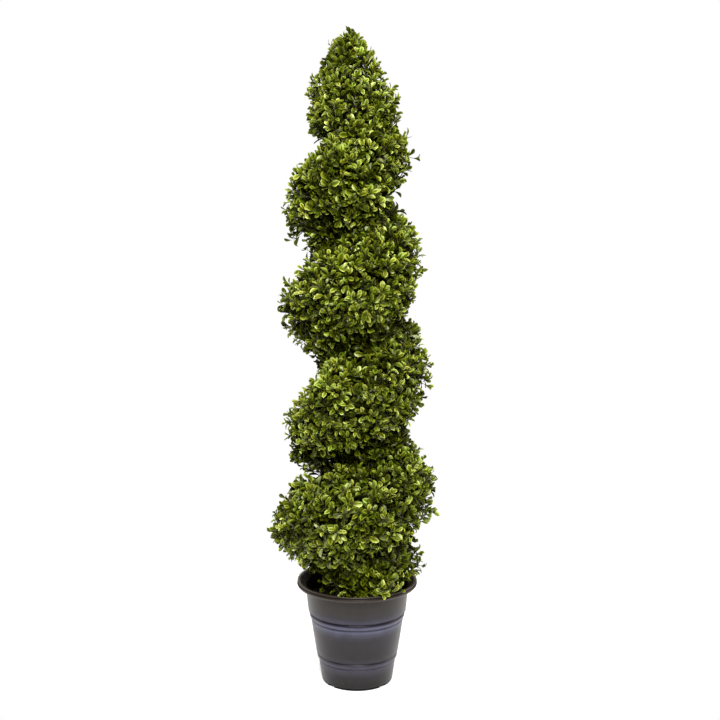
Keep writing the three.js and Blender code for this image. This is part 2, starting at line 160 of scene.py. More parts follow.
# How far leaves may reach from the trunk's middle, by height, and how far they stand dense
REACH = [
    (0.085, 0.093), (0.150, 0.097), (0.200, 0.127), (0.250, 0.150), (0.300, 0.167), (0.400, 0.158),
    (0.500, 0.145), (0.600, 0.152), (0.700, 0.144), (0.800, 0.140), (0.900, 0.134), (1.000, 0.124),
    (1.060, 0.110), (1.100, 0.096), (1.126, 0.084), (1.170, 0.057), (1.195, 0.038), (TOTAL_HEIGHT, 0.012),
]
LEAFY_REACH = [
    (0.085, 0.086), (0.150, 0.094), (0.200, 0.124), (0.250, 0.146), (0.300, 0.163), (0.400, 0.151),
    (0.500, 0.138), (0.600, 0.144), (0.700, 0.138), (0.800, 0.133), (0.900, 0.128), (1.000, 0.119),
    (1.060, 0.104), (1.100, 0.090), (1.126, 0.078), (1.155, 0.060), (1.175, 0.048), (1.195, 0.030),
    (1.205, 0.014), (TOTAL_HEIGHT, 0.004),
]

# Where limbs and leaves stay clear of the rest
RIM_ROOM = 2 * MM  # kept free between the foliage and the pot
LEAF_ROOM = 1.5 * MM  # between a leaf and the trunk, or the outside of the rim
RIM_HANG = 168 * MM  # the lowest that a spray hangs down outside the rim
TIP_ROOM = 2 * MM  # above the trunk's tip
TOP_ROOM = 0.5 * MM  # under the top of the whole
BOUGH_FLOOR = FILL_TOP + 16 * MM
STEM_FLOOR = FILL_TOP + 12 * MM  # where the lowest branch leaves the trunk
STEM_CEILING = TRUNK_TIP - 4 * MM  # and the highest
BRANCH_START = 9 * MM  # how far from the axis inner branches start

# Twigs
TWIG_LENGTH = (36 * MM, 60 * MM)
TWIG_POINTS = (0.0, 0.35, 0.7, 1.0)  # along a twig, past two along the branch that bears it
# How much twigs bend: the range, as a share of their length, and how much of it has tips that droop
TWIG_BEND = (0.12, 0.35)
BRANCH_SAG = 0.1  # of its length
LIMB_RADII = [r * MM for r in (1.5, 1.2, 0.9, 0.8, 0.65, 0.5)]  # from a branch's root to its twig's tip
BOUGH_RADIUS = 3 * MM
STEM_RADIUS = 4.5 * MM  # of a stem at the trunk
BOUGH_STEPS = 12  # points along a bough or a stem
BOUGH_SIDES = 8
BOUGH_RELIEF = 1.2 * MM
BOUGH_GRAIN = 6 * MM
TWIG_ROWS = 14  # of twigs along a mass
TWIGS_PER_ROW = 18  # round its section
TWIG_ARC = 1.24 * math.pi  # how far they go round it, from above by the outside to below
THINNING = 0.6  # how fast they get fewer towards the trunk
SITE_JITTER = 0.9  # of the space between twigs
STAGGER = 0.25  # of that space, between one row and the next
STRAND_DEPTH = (0.92, 0.1, 40 * MM, 0.12)  # of sprays: middle, swing between clumps, clump size, scatter
SUNK = (0.3, 0.14, 0.1)  # the share of sprays that sit deeper, by how much at least, and how much more
BOUGH_LAG = (0.02, 0.03)  # how many turns behind its tip a spray leaves the bough: at least, and more
CROWN_TWIGS = 190
CROWN_FLOOR = 1.03
CROWN_CROWDING = 0.65  # of its sprays towards the tip: 1 spaces them evenly, and less leaves fewer there
CROWN_DEPTH = (0.9, 0.14, 34 * MM, 0.1)  # in the same way as the strand's
CORE_TWIGS = 640  # inside the strand, where they keep light from passing through
CORE_DEPTH = (0.46, 0.24)  # at least, and more
GAP_TWIGS = 460  # deep in the gap between one turn of the strand and the next
GAP_HALF = 38 * MM
GAP_TURNS = (0.3, 1.0)  # how much later than the strand they start, and how many turns fewer they cover
GAP_REACHES = [  # how far out those stand, by turn, as a share of the reach
    (0.0, 0.70), (0.12, 0.62), (0.35, 0.56), (0.5, 0.54), (0.64, 0.50), (0.77, 0.48), (0.86, 0.82),
    (0.93, 0.84), (1.0, 0.70),
]
# Where the strand stands fuller, or thinner where it is less than 0: (turn, height, by how many mm)
SWELLS = [
    (0.0, 1.205, -9), (0.5, 1.135, -9), (0.5, 1.075, -16), (0.5, 1.03, -30), (0.0, 1.064, -9),
    (0.0, 1.016, -14), (0.5, 0.975, -12), (0.0, 0.915, -20), (0.5, 0.878, 4), (0.5, 0.835, -10),
    (0.0, 0.755, -6), (0.0, 0.715, 12), (0.5, 0.425, 16), (0.5, 0.800, -10), (0.5, 0.770, -8),
    (0.5, 0.735, 8), (0.5, 0.640, -12), (0.5, 0.600, -18), (0.5, 0.560, -30), (0.0, 0.645, -12),
    (0.0, 0.610, 14), (0.0, 0.548, -10), (0.0, 0.515, 18), (0.0, 0.455, -36), (0.0, 0.395, 6),
    (0.5, 0.385, -26), (0.0, 0.315, 22), (0.5, 0.300, 12), (0.5, 0.262, 12), (0.5, 0.228, -26),
]
SWELL_SPAN = (0.12, 0.035)  # in turns and in height
# Dark hollows at the front, where one turn of the strand overhangs the next, in the same way
HOLLOWS = [
    (0.68, 0.852, -55), (0.76, 0.648, -60), (0.745, 0.420, -60), (0.64, 0.690, -26), (0.68, 0.436, -45),
    (0.81, 0.446, -45), (0.62, 0.425, -32), (0.80, 0.622, -24),
]
HOLLOW_SPAN = (0.05, 0.026)
# Where sprays are clipped back once they are grown, or drawn out where it is less than 0, in the same way
CLIPPED = [
    (0.0, 1.196, 9), (0.0, 1.115, 12), (0.5, 1.106, -9), (0.0, 1.090, -10), (0.5, 1.076, 8),
    (0.5, 1.053, -8), (0.0, 1.034, 18), (0.0, 1.010, -13), (0.5, 0.975, 8), (0.0, 0.855, 7),
    (0.5, 0.837, 14), (0.5, 0.812, -15), (0.5, 0.755, 8), (0.0, 0.657, -16), (0.0, 0.635, 9),
    (0.5, 0.555, 6), (0.5, 0.434, 20), (0.5, 0.413, -36), (0.5, 0.393, 20), (0.5, 0.372, -26),
    (0.0, 0.360, 11), (0.5, 0.335, 14), (0.5, 0.315, -8), (0.5, 0.288, 8), (0.5, 0.270, 5),
    (0.0, 0.252, 11), (0.5, 0.235, 11),
]
CLIP_SPAN = (0.12, 0.018)
# Sprays that stand out of the rest: (turn, height, reach)
STRAYS = [
    (0.99, 1.008, 0.131), (0.02, 0.992, 0.124), (0.0, 0.793, 0.140), (0.98, 0.782, 0.134),
    (0.0, 0.604, 0.152), (0.02, 0.588, 0.149), (0.97, 0.570, 0.147), (0.0, 0.382, 0.159),
    (0.98, 0.395, 0.155), (0.03, 0.448, 0.136), (0.51, 0.841, 0.133), (0.49, 0.739, 0.141),
    (0.5, 0.395, 0.124), (0.2, 0.66, 0.150), (0.3, 0.95, 0.134), (0.27, 0.44, 0.156),
    (0.74, 0.36, 0.166), (0.7, 0.98, 0.132), (0.8, 0.56, 0.156), (0.0, 0.24, 0.134),
    (0.55, 1.12, 0.083), (0.47, 1.09, 0.084), (0.98, 1.16, 0.058), (0.03, 1.18, 0.050),
    (0.52, 1.175, 0.054), (0.02, 1.11, 0.095),
]
# Sprays that fill the pot's mouth, and some that hang over its rim at the front right: (turn, reach, height)
MOUTH_TWIGS = 90
MOUTH_TURNS = (0.57, 1.12)
MOUTH_RADII = (30 * MM, 58 * MM)  # how far out they stand, at least and more
MOUTH_HEIGHTS = (0.212, 24 * MM)
RIM_SPRAYS = [
    (0.815, 0.120, 0.203), (0.84, 0.121, 0.201), (0.865, 0.121, 0.205), (0.985, 0.126, 0.246),
    (0.975, 0.126, 0.226),
]
# The crown ends in a few slim sprigs: (turn, reach, height)
TIP_SPRIGS = [
    (0.6, 0.003, 1.204), (0.2, 0.006, 1.200), (0.96, 0.020, 1.193), (0.46, 0.026, 1.188),
    (0.1, 0.034, 1.178),
]
GOLDEN_TURN = 0.382  # from each spray of the crown to the next
PLACED_SLACK = 12 * MM  # how far past the reach the strays, the sprigs and the rim's sprays may stand
MOST_ASIDE = math.radians(36)  # that any other spray turns from its outward direction

# Leaves
LEAF_LENGTH = 21 * MM
LEAF_WIDTH_SHARE = 0.44
LEAF_PAIRS = 5  # on a twig, with one leaf at its tip
LEAF_SPREAD = (0.24, 0.7)  # as shares of the twig: where the first pair sits, and how far on the last one is
PAIR_SIZES = ([0, 1, 2, LEAF_PAIRS - 1], [0.82, 1.0, 1.02, 0.74])  # by number, as shares of a leaf's length
TIP_LEAF_SIZE = 0.66
LEAF_SPLAY = (math.radians(82), math.radians(50))  # from the twig, at its lowest and its highest pair
TIP_LEAF_SPLAY = math.radians(15)
# How widely leaves differ: twist and tilt as angles, roll in turns and size as a share
LEAF_SCATTER = {"twist": math.radians(30), "roll": 0.05, "tilt": 0.3, "size": 0.16}
SIZE_LIMITS = (0.6, 1.25)  # as shares of the usual size
SPRAY_SIZES = (0.8, 0.36)  # of all the leaves on one twig, at least and more
LEAF_UPTURN = 0.3  # how much leaves turn up to the light
LEAF_STALK = 0.5 * MM
LEAF_BOW = 0.07  # how high a leaf arches, as a share of its length
LEAF_OVERHANG = 9 * MM  # how far leaves stand past their twig's tip
LEAF_FOLD = math.radians(15)  # a leaf bent by more than this on its midrib shows a crease

# What makes a leaf lighter: its clump and its spray, at random; painted light on the strand's upper side and
# the crown, with painted shade on its underside; and how near its twig's tip it sits, partly as fresh growth
# and partly as painted shade towards the spray's base. Painted shade darkens sprays deep in the strand, in
# the gap, in the pot's mouth and on the plant's two sides.
TINT = {"clump": 0.23, "spray": 0.43, "lift": 0.12, "leaf": 0.13, "outward": 0.8}
TINT_CLUMP = 38 * MM
TINT_MIDDLE = 0.62  # where on its twig a leaf is neither lightened nor darkened
DEEP_SHADE = (0.82, 0.6)  # painted shade deep in the strand: the depth where it starts, and how dark it is
FLANK_SHADE = (0.86, 0.1, 0.24)  # painted shade on the plant's two sides: from which share of the way aside, over how much, and how dark it is
# The share of the leaves under the limit between each shade and the next lighter one
SHADE_LIMITS = [0.29, 0.525, 0.77, 0.925]
LEAF_SHADES = [  # from the deepest green to lime: name, darker and lighter hex of its mottle, pale hex of its painted rim sheen
    ("deep", "2b2f00", "3b4000", "4d5604"),
    ("dark", "353b00", "444d01", "616b0c"),
    ("mid", "485100", "5b6701", "7d891a"),
    ("light", "616e01", "7c8808", "a5ae48"),
    ("lime", "829109", "a9b62e", "d2d98e"),
]
SEED = 211

# A leaf of unit length: its midrib's bends as shares of its length, and its edge's with their half widths
MIDRIB_BENDS = (0.0, 0.42, 0.72, 1.0)
EDGE_BENDS = [(0.2, 0.045), (0.43, 0.13), (0.7, LEAF_WIDTH_SHARE / 2), (0.9, 0.16)]
RIM_SHARES = [0.0, 0.28, 0.45, 0.85] + 2 * [0.4, 0.75, 1.0, 1.0]  # how near its rim each of them counts
LEAF_PATTERNS = {"flat_leaf": (0.09, -0.06), "cupped_leaf": (0.18, 0.13), "curled_leaf": (0.13, -0.25)}

# The pot's colour by height in mm: warm charcoal, with a soft lavender cast round each bead, partly its own
# colour and partly painted sheen, and darker towards the foot with painted shade
POT_WASH_AND_SHEEN = [
    (0, "070606"), (3, "0e0c0c"), (6, "181515"), (10, "191616"), (26, "232022"), (34, "343039"),
    (43, "403d4b"), (50, "3e3b48"), (57, "302b31"), (70, "272125"), (98, "2a2429"), (106, "302c35"),
    (113, "41404d"), (119, "525368"), (125, "4d4c60"), (129, "4d4b5f"), (133, "3e3b4c"),
    (141, "393644"), (150, "2e292d"), (162, "2d2622"), (186, "2d241b"), (190, "3a3026"),
    (197, "3c3227"),
]
WASH_DRIFT = 8 * MM  # how far it wanders up and down
# Painted light on its relief: painted shade in the grooves and along the bottom edge, painted highlights on
# the crests of the beads and the lip's edges
POT_RELIEF_SHADING = [
    (2.5, "303030"), (5, "dcdcdc"), (45.6, "dcdcdc"), (49, "e8e8e8"), (52, "c4c4c4"), (54, "b4b4b4"),
    (55.4, "b0b0b0"), (57.6, "d0d0d0"), (60, "dcdcdc"), (118, "dcdcdc"), (120.5, "f0f0f0"),
    (122.4, "c0c0c0"), (123.9, "8c8c8c"), (125.8, "ececec"), (128.4, "ffffff"), (130.2, "f8f8f8"),
    (132, "a8a8a8"), (133.6, "8c8c8c"), (135.4, "949494"), (137, "a0a0a0"), (138.3, "c8c8c8"),
    (140.2, "f0f0f0"), (143, "dcdcdc"), (184, "dcdcdc"), (188.2, "ffffff"), (190.2, "dcdcdc"),
    (191.6, "9c9c9c"), (193.2, "686868"), (194.8, "7c7c7c"), (195.8, "dcdcdc"), (196.4, "ffffff"),
]

# A Mix node's factor and its two colours, by number, because their names stand on it more than once
FACTOR, COLOUR_A, COLOUR_B = 0, 6, 7
MULTIPLIED = {"data_type": "RGBA", "blend_type": "MULTIPLY"}


def srgb(code):
    """A colour written as sRGB hex, as the linear RGBA that shaders take."""
    channels = [int(code[i:i + 2], 16) / 255 for i in (0, 2, 4)]
    linear = [c / 12.92 if c <= 0.04045 else ((c + 0.055) / 1.055) ** 2.4 for c in channels]
    return (*linear, 1.0)


def feed(tree, made, inputs):
    """Gives a node's inputs a value, or links them to an output or to a node's first output in use."""
    for key, value in inputs.items():
        if isinstance(value, bpy.types.Node):
            value = next(socket for socket in value.outputs if socket.enabled)
        if isinstance(value, bpy.types.NodeSocket):
            tree.links.new(value, made.inputs[key])
        else:
            made.inputs[key].default_value = value


def node(tree, kind, inputs=(), stops=(), **settings):
    """Adds a node with its own settings and its inputs, and a colour ramp's (place, hex colour) stops."""
    made = tree.nodes.new(kind)
    for name, value in settings.items():
        setattr(made, name, value)
    for _ in stops[2:]:
        made.color_ramp.elements.new(1.0)
    if stops:
        for element, (place, code) in zip(made.color_ramp.elements, stops):
            element.position = place
            element.color = srgb(code)
    feed(tree, made, dict(inputs))
    return made


def new_material(name):
    """An empty node material: its tree, its principled shader and its Object coordinates."""
    material = bpy.data.materials.new(name)
    material.use_nodes = True
    tree = material.node_tree
    return material, tree, tree.nodes["Principled BSDF"], node(tree, "ShaderNodeTexCoord").outputs["Object"]


def moulded_leaf_material(name, shaded, lit, rim_sheen):
    """Boxwood leaves moulded in polyethylene: satin, with painted shade at the base and a pale painted sheen
    at the rim.

    Their green is faintly mottled, and drifts cooler and warmer from batch to batch.
    """
    material, tree, shader, place = new_material(name)
    mottle = node(tree, "ShaderNodeTexNoise", {"Vector": place, "Scale": 1 / (9 * MM), "Detail": 2.0})
    pigment = node(tree, "ShaderNodeValToRGB", {"Fac": mottle}, [(0.3, shaded), (0.7, lit)])
    rim = node(tree, "ShaderNodeAttribute", attribute_name="rim").outputs["Fac"]
    # painted shade: the colour is darker towards the leaf's base and midrib, and lighter towards its rim
    depth = node(tree, "ShaderNodeValToRGB", {"Fac": rim}, [
        (0.0, "505018"), (0.3, "848438"), (0.6, "b4b470"), (0.9, "ffffff"),
    ])
    pigment_with_base_shade = node(tree, "ShaderNodeMix", {FACTOR: 1.0, COLOUR_A: pigment, COLOUR_B: depth}, **MULTIPLIED)
    # painted sheen: towards the rim the colour is mixed to a pale hex
    sheen_mask = node(tree, "ShaderNodeMapRange", {"Value": rim, "From Min": 0.7, "From Max": 1.0, "To Max": 0.6})
    sheened = node(tree, "ShaderNodeMix", {
        FACTOR: sheen_mask, COLOUR_A: pigment_with_base_shade, COLOUR_B: srgb(rim_sheen),
    }, data_type="RGBA")
    batch = node(tree, "ShaderNodeTexNoise", {"Vector": place, "Scale": 1 / (16 * MM), "Detail": 1.0})
    cast = node(tree, "ShaderNodeValToRGB", {"Fac": batch}, [
        (0.3, "ebffff"), (0.5, "ffffff"), (0.7, "fff4da"),
    ])
    colour = node(tree, "ShaderNodeMix", {FACTOR: 1.0, COLOUR_A: sheened, COLOUR_B: cast}, **MULTIPLIED)
    grain = node(tree, "ShaderNodeTexNoise", {"Vector": place, "Scale": 1 / (1.1 * MM), "Detail": 2.0})
    bump = node(tree, "ShaderNodeBump", {"Height": grain, "Strength": 0.25, "Distance": 0.15 * MM})
    gloss = node(tree, "ShaderNodeMapRange", {"Value": mottle, "To Min": 0.3, "To Max": 0.48})
    feed(tree, shader, {
        "Base Color": colour, "Roughness": gloss, "Normal": bump,
        "IOR": 1.5, "Specular IOR Level": 0.55, "Specular Tint": srgb("eaefb6"),
    })
    return material


def twig_material():
    """Twigs moulded in olive-brown polyethylene, duller than the leaves."""
    material, tree, shader, place = new_material("moulded_twig_polyethylene")
    mottle = node(tree, "ShaderNodeTexNoise", {"Vector": place, "Scale": 1 / (7 * MM), "Detail": 3.0})
    colour = node(tree, "ShaderNodeValToRGB", {"Fac": mottle}, [
        (0.3, "24240a"), (0.55, "33340e"), (0.75, "40381a"),
    ])
    feed(tree, shader, {"Base Color": colour, "Roughness": 0.55, "IOR": 1.5})
    return material


def bark_material():
    """Bark moulded in relief on the pole's polyethylene sleeve: dull, with dark furrows that run up it."""
    material, tree, shader, place = new_material("moulded_bark_polyethylene")
    stretched = node(tree, "ShaderNodeMapping", {"Vector": place, "Scale": (1.0, 1.0, 0.16)})
    furrows = node(tree, "ShaderNodeTexNoise", {
        "Vector": stretched, "Scale": 1 / (4 * MM), "Detail": 6.0, "Roughness": 0.62,
    })
    patches = node(tree, "ShaderNodeTexNoise", {"Vector": place, "Scale": 1 / (30 * MM), "Detail": 2.0})
    mixed = node(tree, "ShaderNodeMath", {0: furrows, 1: patches}, operation="MULTIPLY")
    colour = node(tree, "ShaderNodeValToRGB", {"Fac": mixed}, [
        (0.12, "1d140c"), (0.25, "3b2b1c"), (0.42, "5f4a33"),
    ])
    bump = node(tree, "ShaderNodeBump", {"Height": furrows, "Strength": 0.6, "Distance": 0.6 * MM})
    feed(tree, shader, {"Base Color": colour, "Normal": bump, "Roughness": 0.85})
    return material


def pot_material():
    """A nursery pot, injection moulded in charcoal polypropylene: satin, with a lavender wash and painted
    sheen by its beads.

    Its grooves are left dull, with painted shade in them and along its bottom edge, and its crests get
    painted highlights.
    """
    material, tree, shader, place = new_material("moulded_pot_polypropylene")
    drift = node(tree, "ShaderNodeTexNoise", {"Vector": place, "Scale": 1 / (45 * MM), "Detail": 3.0})
    height = node(tree, "ShaderNodeSeparateXYZ", {"Vector": place}).outputs["Z"]
    shifted = node(tree, "ShaderNodeMath", {0: drift, 1: WASH_DRIFT, 2: height}, operation="MULTIPLY_ADD")
    share = node(tree, "ShaderNodeMapRange", {
        "Value": shifted, "From Min": WASH_DRIFT / 2, "From Max": POT_HEIGHT + WASH_DRIFT / 2,
    })
    level = node(tree, "ShaderNodeMapRange", {"Value": height, "From Max": POT_HEIGHT})
    # the wash by height: lavender colour partly its own and partly painted sheen by the beads, painted shade
    # towards the foot
    wash, relief = (
        node(tree, "ShaderNodeValToRGB", {"Fac": factor}, [(z * MM / POT_HEIGHT, code) for z, code in stops])
        for factor, stops in ((share, POT_WASH_AND_SHEEN), (level, POT_RELIEF_SHADING))
    )
    wash.color_ramp.interpolation = "EASE"
    # painted shade in the grooves and along the bottom edge, painted highlights on the crests and the lip's
    # edges
    washed_and_shaded = node(tree, "ShaderNodeMix", {FACTOR: 1.0, COLOUR_A: wash, COLOUR_B: relief}, **MULTIPLIED)
    cloud = node(tree, "ShaderNodeTexNoise", {"Vector": place, "Scale": 1 / (16 * MM), "Detail": 4.0})
    shade = node(tree, "ShaderNodeValToRGB", {"Fac": cloud}, [(0.25, "d8d6da"), (0.75, "ffffff")])
    colour = node(tree, "ShaderNodeMix", {FACTOR: 1.0, COLOUR_A: washed_and_shaded, COLOUR_B: shade}, **MULTIPLIED)
    grain = node(tree, "ShaderNodeTexNoise", {"Vector": place, "Scale": 1 / (0.9 * MM), "Detail": 2.0})
    bump = node(tree, "ShaderNodeBump", {"Height": grain, "Strength": 0.12, "Distance": 0.1 * MM})
    gloss = node(tree, "ShaderNodeMapRange", {"Value": cloud, "To Min": 0.34, "To Max": 0.48})
    shine = node(tree, "ShaderNodeMapRange", {
        "Value": relief, "From Min": 0.05, "From Max": 0.6, "To Min": 0.02, "To Max": 0.28,
    })
    feed(tree, shader, {
        "Base Color": colour, "Roughness": gloss, "Specular IOR Level": shine, "Normal": bump, "IOR": 1.49,
    })
    return material


def fill_material():
    """Cast ballast under a layer of dry peat: dark, crumbly and without gloss."""
    material, tree, shader, place = new_material("peat_over_cast_ballast")
    crumbs = node(tree, "ShaderNodeTexNoise", {"Vector": place, "Scale": 1 / (5 * MM), "Detail": 6.0})
    colour = node(tree, "ShaderNodeValToRGB", {"Fac": crumbs}, [
        (0.35, "14100b"), (0.55, "2a2117"), (0.72, "453826"),
    ])
    bump = node(tree, "ShaderNodeBump", {"Height": crumbs, "Strength": 0.7, "Distance": 1.2 * MM})
    feed(tree, shader, {"Base Color": colour, "Normal": bump, "Roughness": 0.95})
    return material


def moss_material():
    """Curled dry moss strands: olive brown, matte."""
    material, tree, shader, place = new_material("dried_moss")
    mottle = node(tree, "ShaderNodeTexNoise", {"Vector": place, "Scale": 1 / (12 * MM), "Detail": 2.0})
    colour = node(tree, "ShaderNodeValToRGB", {"Fac": mottle}, [(0.3, "2a2a14"), (0.7, "55502a")])
    feed(tree, shader, {"Base Color": colour, "Roughness": 0.9})
    return material


def floor_material():
    """Painted studio board: pale and matte, with a barely visible roller texture."""
    material, tree, shader, place = new_material("painted_studio_board")
    stipple = node(tree, "ShaderNodeTexNoise", {"Vector": place, "Scale": 1 / (40 * MM), "Detail": 3.0})
    colour = node(tree, "ShaderNodeValToRGB", {"Fac": stipple}, [(0.3, "fafaf9"), (0.7, "fdfdfd")])
    feed(tree, shader, {"Base Color": colour, "Roughness": 0.8})
    return material


def link(data, name):
    """A new object for a mesh, a light or a camera, at the origin."""
    made = bpy.data.objects.new(name, data)
    bpy.context.scene.collection.objects.link(made)
    return made


def solid(name, points, faces, material, sharp=None):
    """A smooth object from points and faces, with creases past an angle where one is given."""
    mesh = bpy.data.meshes.new(name)
    mesh.from_pydata([tuple(p) for p in points], [], [tuple(f) for f in faces])
    mesh.validate()
    mesh.materials.append(material)
    mesh.shade_smooth()
    if sharp is not None:
        mesh.set_sharp_from_angle(angle=sharp)
    return link(mesh, name)


def ring_faces(rings, sides):
    """Quads between rings of points that each run anticlockwise as seen from the last ring."""
    return [
        (
            ring * sides + i, ring * sides + (i + 1) % sides,
            (ring + 1) * sides + (i + 1) % sides, (ring + 1) * sides + i,
        )
        for ring in range(rings - 1)
        for i in range(sides)
    ]


def turned(name, profile, segments, material):
    """A closed solid: (radius, height) points, from the axis back to the axis, turned about Z."""
    (start, *between, end) = profile
    angles = [TURN * i / segments for i in range(segments)]
    points = [(radius * math.cos(a), radius * math.sin(a), z) for radius, z in between for a in angles]
    low, high = len(points), len(points) + 1
    points += [(0, 0, start[1]), (0, 0, end[1])]
    last = (len(between) - 1) * segments
    faces = ring_faces(len(between), segments)
    faces += [(low, (i + 1) % segments, i) for i in range(segments)]
    faces += [(high, last + i, last + (i + 1) % segments) for i in range(segments)]
    return solid(name, points, faces, material)


def rounded(corners):
    """A profile from corners of (radius, height, fillet), rounded where the fillet isn't 0."""
    made = []
    for i, (x, z, fillet) in enumerate(corners):
        if fillet == 0:
            made.append((x, z))
            continue
        here = np.array([x, z])
        before = np.array(corners[i - 1][:2]) - here
        after = np.array(corners[i + 1][:2]) - here
        size = min(fillet, FILLET_MOST * np.linalg.norm(before), FILLET_MOST * np.linalg.norm(after))
        start = here + before / np.linalg.norm(before) * size
        end = here + after / np.linalg.norm(after) * size
        for t in np.linspace(0, 1, FILLET_POINTS):
            made.append(tuple((1 - t) ** 2 * start + 2 * t * (1 - t) * here + t ** 2 * end))
    return made


def polar(radius, turn, height):
    """Points at a radius from the axis, a direction in turns and a height, as an array."""
    radius, turn, height = np.broadcast_arrays(radius, turn, height)
    return np.stack([radius * np.cos(TURN * turn), radius * np.sin(TURN * turn), height], axis=-1)


def leaned(points):
    """The same points with the trunk's lean."""
    moved = np.array(points, float)
    moved[..., 0] += LEAN * (moved[..., 2] - TRUNK_FOOT)
    return moved


def along(pairs, value):
    """The value on the broken line through a list of (x, value) pairs."""
    return np.interp(value, [x for x, _ in pairs], [y for _, y in pairs])


def unit(vectors):
    """The same vectors, each with a length of 1."""
    return vectors / np.linalg.norm(vectors, axis=-1, keepdims=True)


def pot_inner_radius(height):
    """How wide the pot is inside, from its axis, at a height."""
    floor_radius = FOOT_RADIUS - WALL_THICKNESS - 1 * MM
    return np.interp(height, [BASE_THICKNESS, LIP_UNDERSIDE - 1 * MM], [floor_radius, THROAT_RADIUS])


def bead_corners(bottom, top, under, low, high, over):
    """A moulded bead: a groove under it, a rounded crest, and a groove over it where the wall steps out."""
    return [
        (under + 0.2 * MM, bottom - 2.2 * MM, 1.2 * MM),
        (under - BEAD_GROOVE, bottom - 0.4 * MM, 0.6 * MM),
        (low, bottom + 2 * MM, 1.6 * MM),
        (high, top - 3.4 * MM, 2.2 * MM),
        (high - 2.4 * BEAD_GROOVE, top - 0.2 * MM, 0.7 * MM),
        (over - 0.2 * MM, top + 1.6 * MM, 0.9 * MM),
        (over, top + 3 * MM, 1.2 * MM),
    ]


def make_pot(material):
    """The pot, turned, with four drain slots cut under its edge."""
    groove = (LIP_GROOVE["bottom"] + LIP_GROOVE["top"]) / 2
    corners = [
        (0, 0, 0), (FOOT_RADIUS - 2 * MM, 0, 0), (FOOT_RADIUS + 1 * MM, 0.6 * MM, 1.4 * MM),
        (FOOT_RADIUS + 2.4 * MM, 7 * MM, 3 * MM),
        *bead_corners(**LOWER_BEAD), *bead_corners(**UPPER_BEAD),
        (SHOULDER_RADIUS, LIP_UNDERSIDE - 0.5 * MM, 2 * MM),
        (RIM_RADIUS - 1.2 * MM, LIP_UNDERSIDE, 1.2 * MM), (RIM_RADIUS, LIP_UNDERSIDE + 2.4 * MM, 1.6 * MM),
        (RIM_RADIUS - 0.2 * MM, LIP_GROOVE["bottom"], 0.7 * MM),
        (RIM_RADIUS - LIP_GROOVE["depth"], groove, 1.2 * MM),
        (RIM_RADIUS - 0.5 * MM, LIP_GROOVE["top"], 0.5 * MM),
        (RIM_RADIUS - 1.1 * MM, POT_HEIGHT, 0.9 * MM),
        (RIM_RADIUS - 4.5 * MM, POT_HEIGHT - 0.1 * MM, 1.5 * MM),
        (MOUTH_RADIUS, LIP_UNDERSIDE + 3.3 * MM, 3 * MM), (THROAT_RADIUS, LIP_UNDERSIDE - 2 * MM, 3 * MM),
        (pot_inner_radius(BASE_THICKNESS), BASE_THICKNESS, 3 * MM), (0, BASE_THICKNESS, 0),
    ]
    pot = turned("pot_moulded", rounded(corners), POT_SEGMENTS, material)
    return grown(pot, notch_tree(), {
        "Count": NOTCH["count"], "Width": NOTCH["width"], "Height": NOTCH["height"],
        "Inner radius": NOTCH["inner"], "Length": FOOT_RADIUS + 10 * MM - NOTCH["inner"],
        "Material": material,
    }, sharp=POT_CREASE)


def new_tree(name, **inputs):
    """A geometry tree with a Geometry input and output, and the given inputs, with spaces for their _."""
    tree = bpy.data.node_groups.new(name, "GeometryNodeTree")
    tree.interface.new_socket(name="Geometry", in_out="INPUT", socket_type="NodeSocketGeometry")
    for label, kind in inputs.items():
        label = label.replace("_", " ")
        tree.interface.new_socket(name=label, in_out="INPUT", socket_type=f"NodeSocket{kind}")
    tree.interface.new_socket(name="Geometry", in_out="OUTPUT", socket_type="NodeSocketGeometry")
    return tree, node(tree, "NodeGroupInput").outputs


def finish_tree(tree, geometry, material):
    """Ends a tree in Realize Instances and Set Material."""
    realized = node(tree, "GeometryNodeRealizeInstances", {"Geometry": geometry})
    coloured = node(tree, "GeometryNodeSetMaterial", {"Geometry": realized, "Material": material})
    node(tree, "NodeGroupOutput", {"Geometry": coloured})
    return tree


def grown(base, tree, values, sharp=None):
    """The plain mesh that a geometry tree makes from an object, in that object's place."""
    modifier = base.modifiers.new(tree.name, "NODES")
    modifier.node_group = tree
    sockets = {item.name: item.identifier for item in tree.interface.items_tree if item.in_out == "INPUT"}
    for label, value in values.items():
        modifier[sockets[label]] = value
    graph = bpy.context.evaluated_depsgraph_get()
    mesh = bpy.data.meshes.new_from_object(base.evaluated_get(graph), depsgraph=graph)
    base.modifiers.clear()
    name = base.name
    bpy.data.objects.remove(base)
    for label in ("lie", "leaf_size", "leaf_kind", "thickness"):
        if label in mesh.attributes:
            mesh.attributes.remove(mesh.attributes[label])
    if sharp is not None:
        mesh.shade_smooth()
        mesh.set_sharp_from_angle(angle=sharp)
    mesh.name = name
    return link(mesh, name)


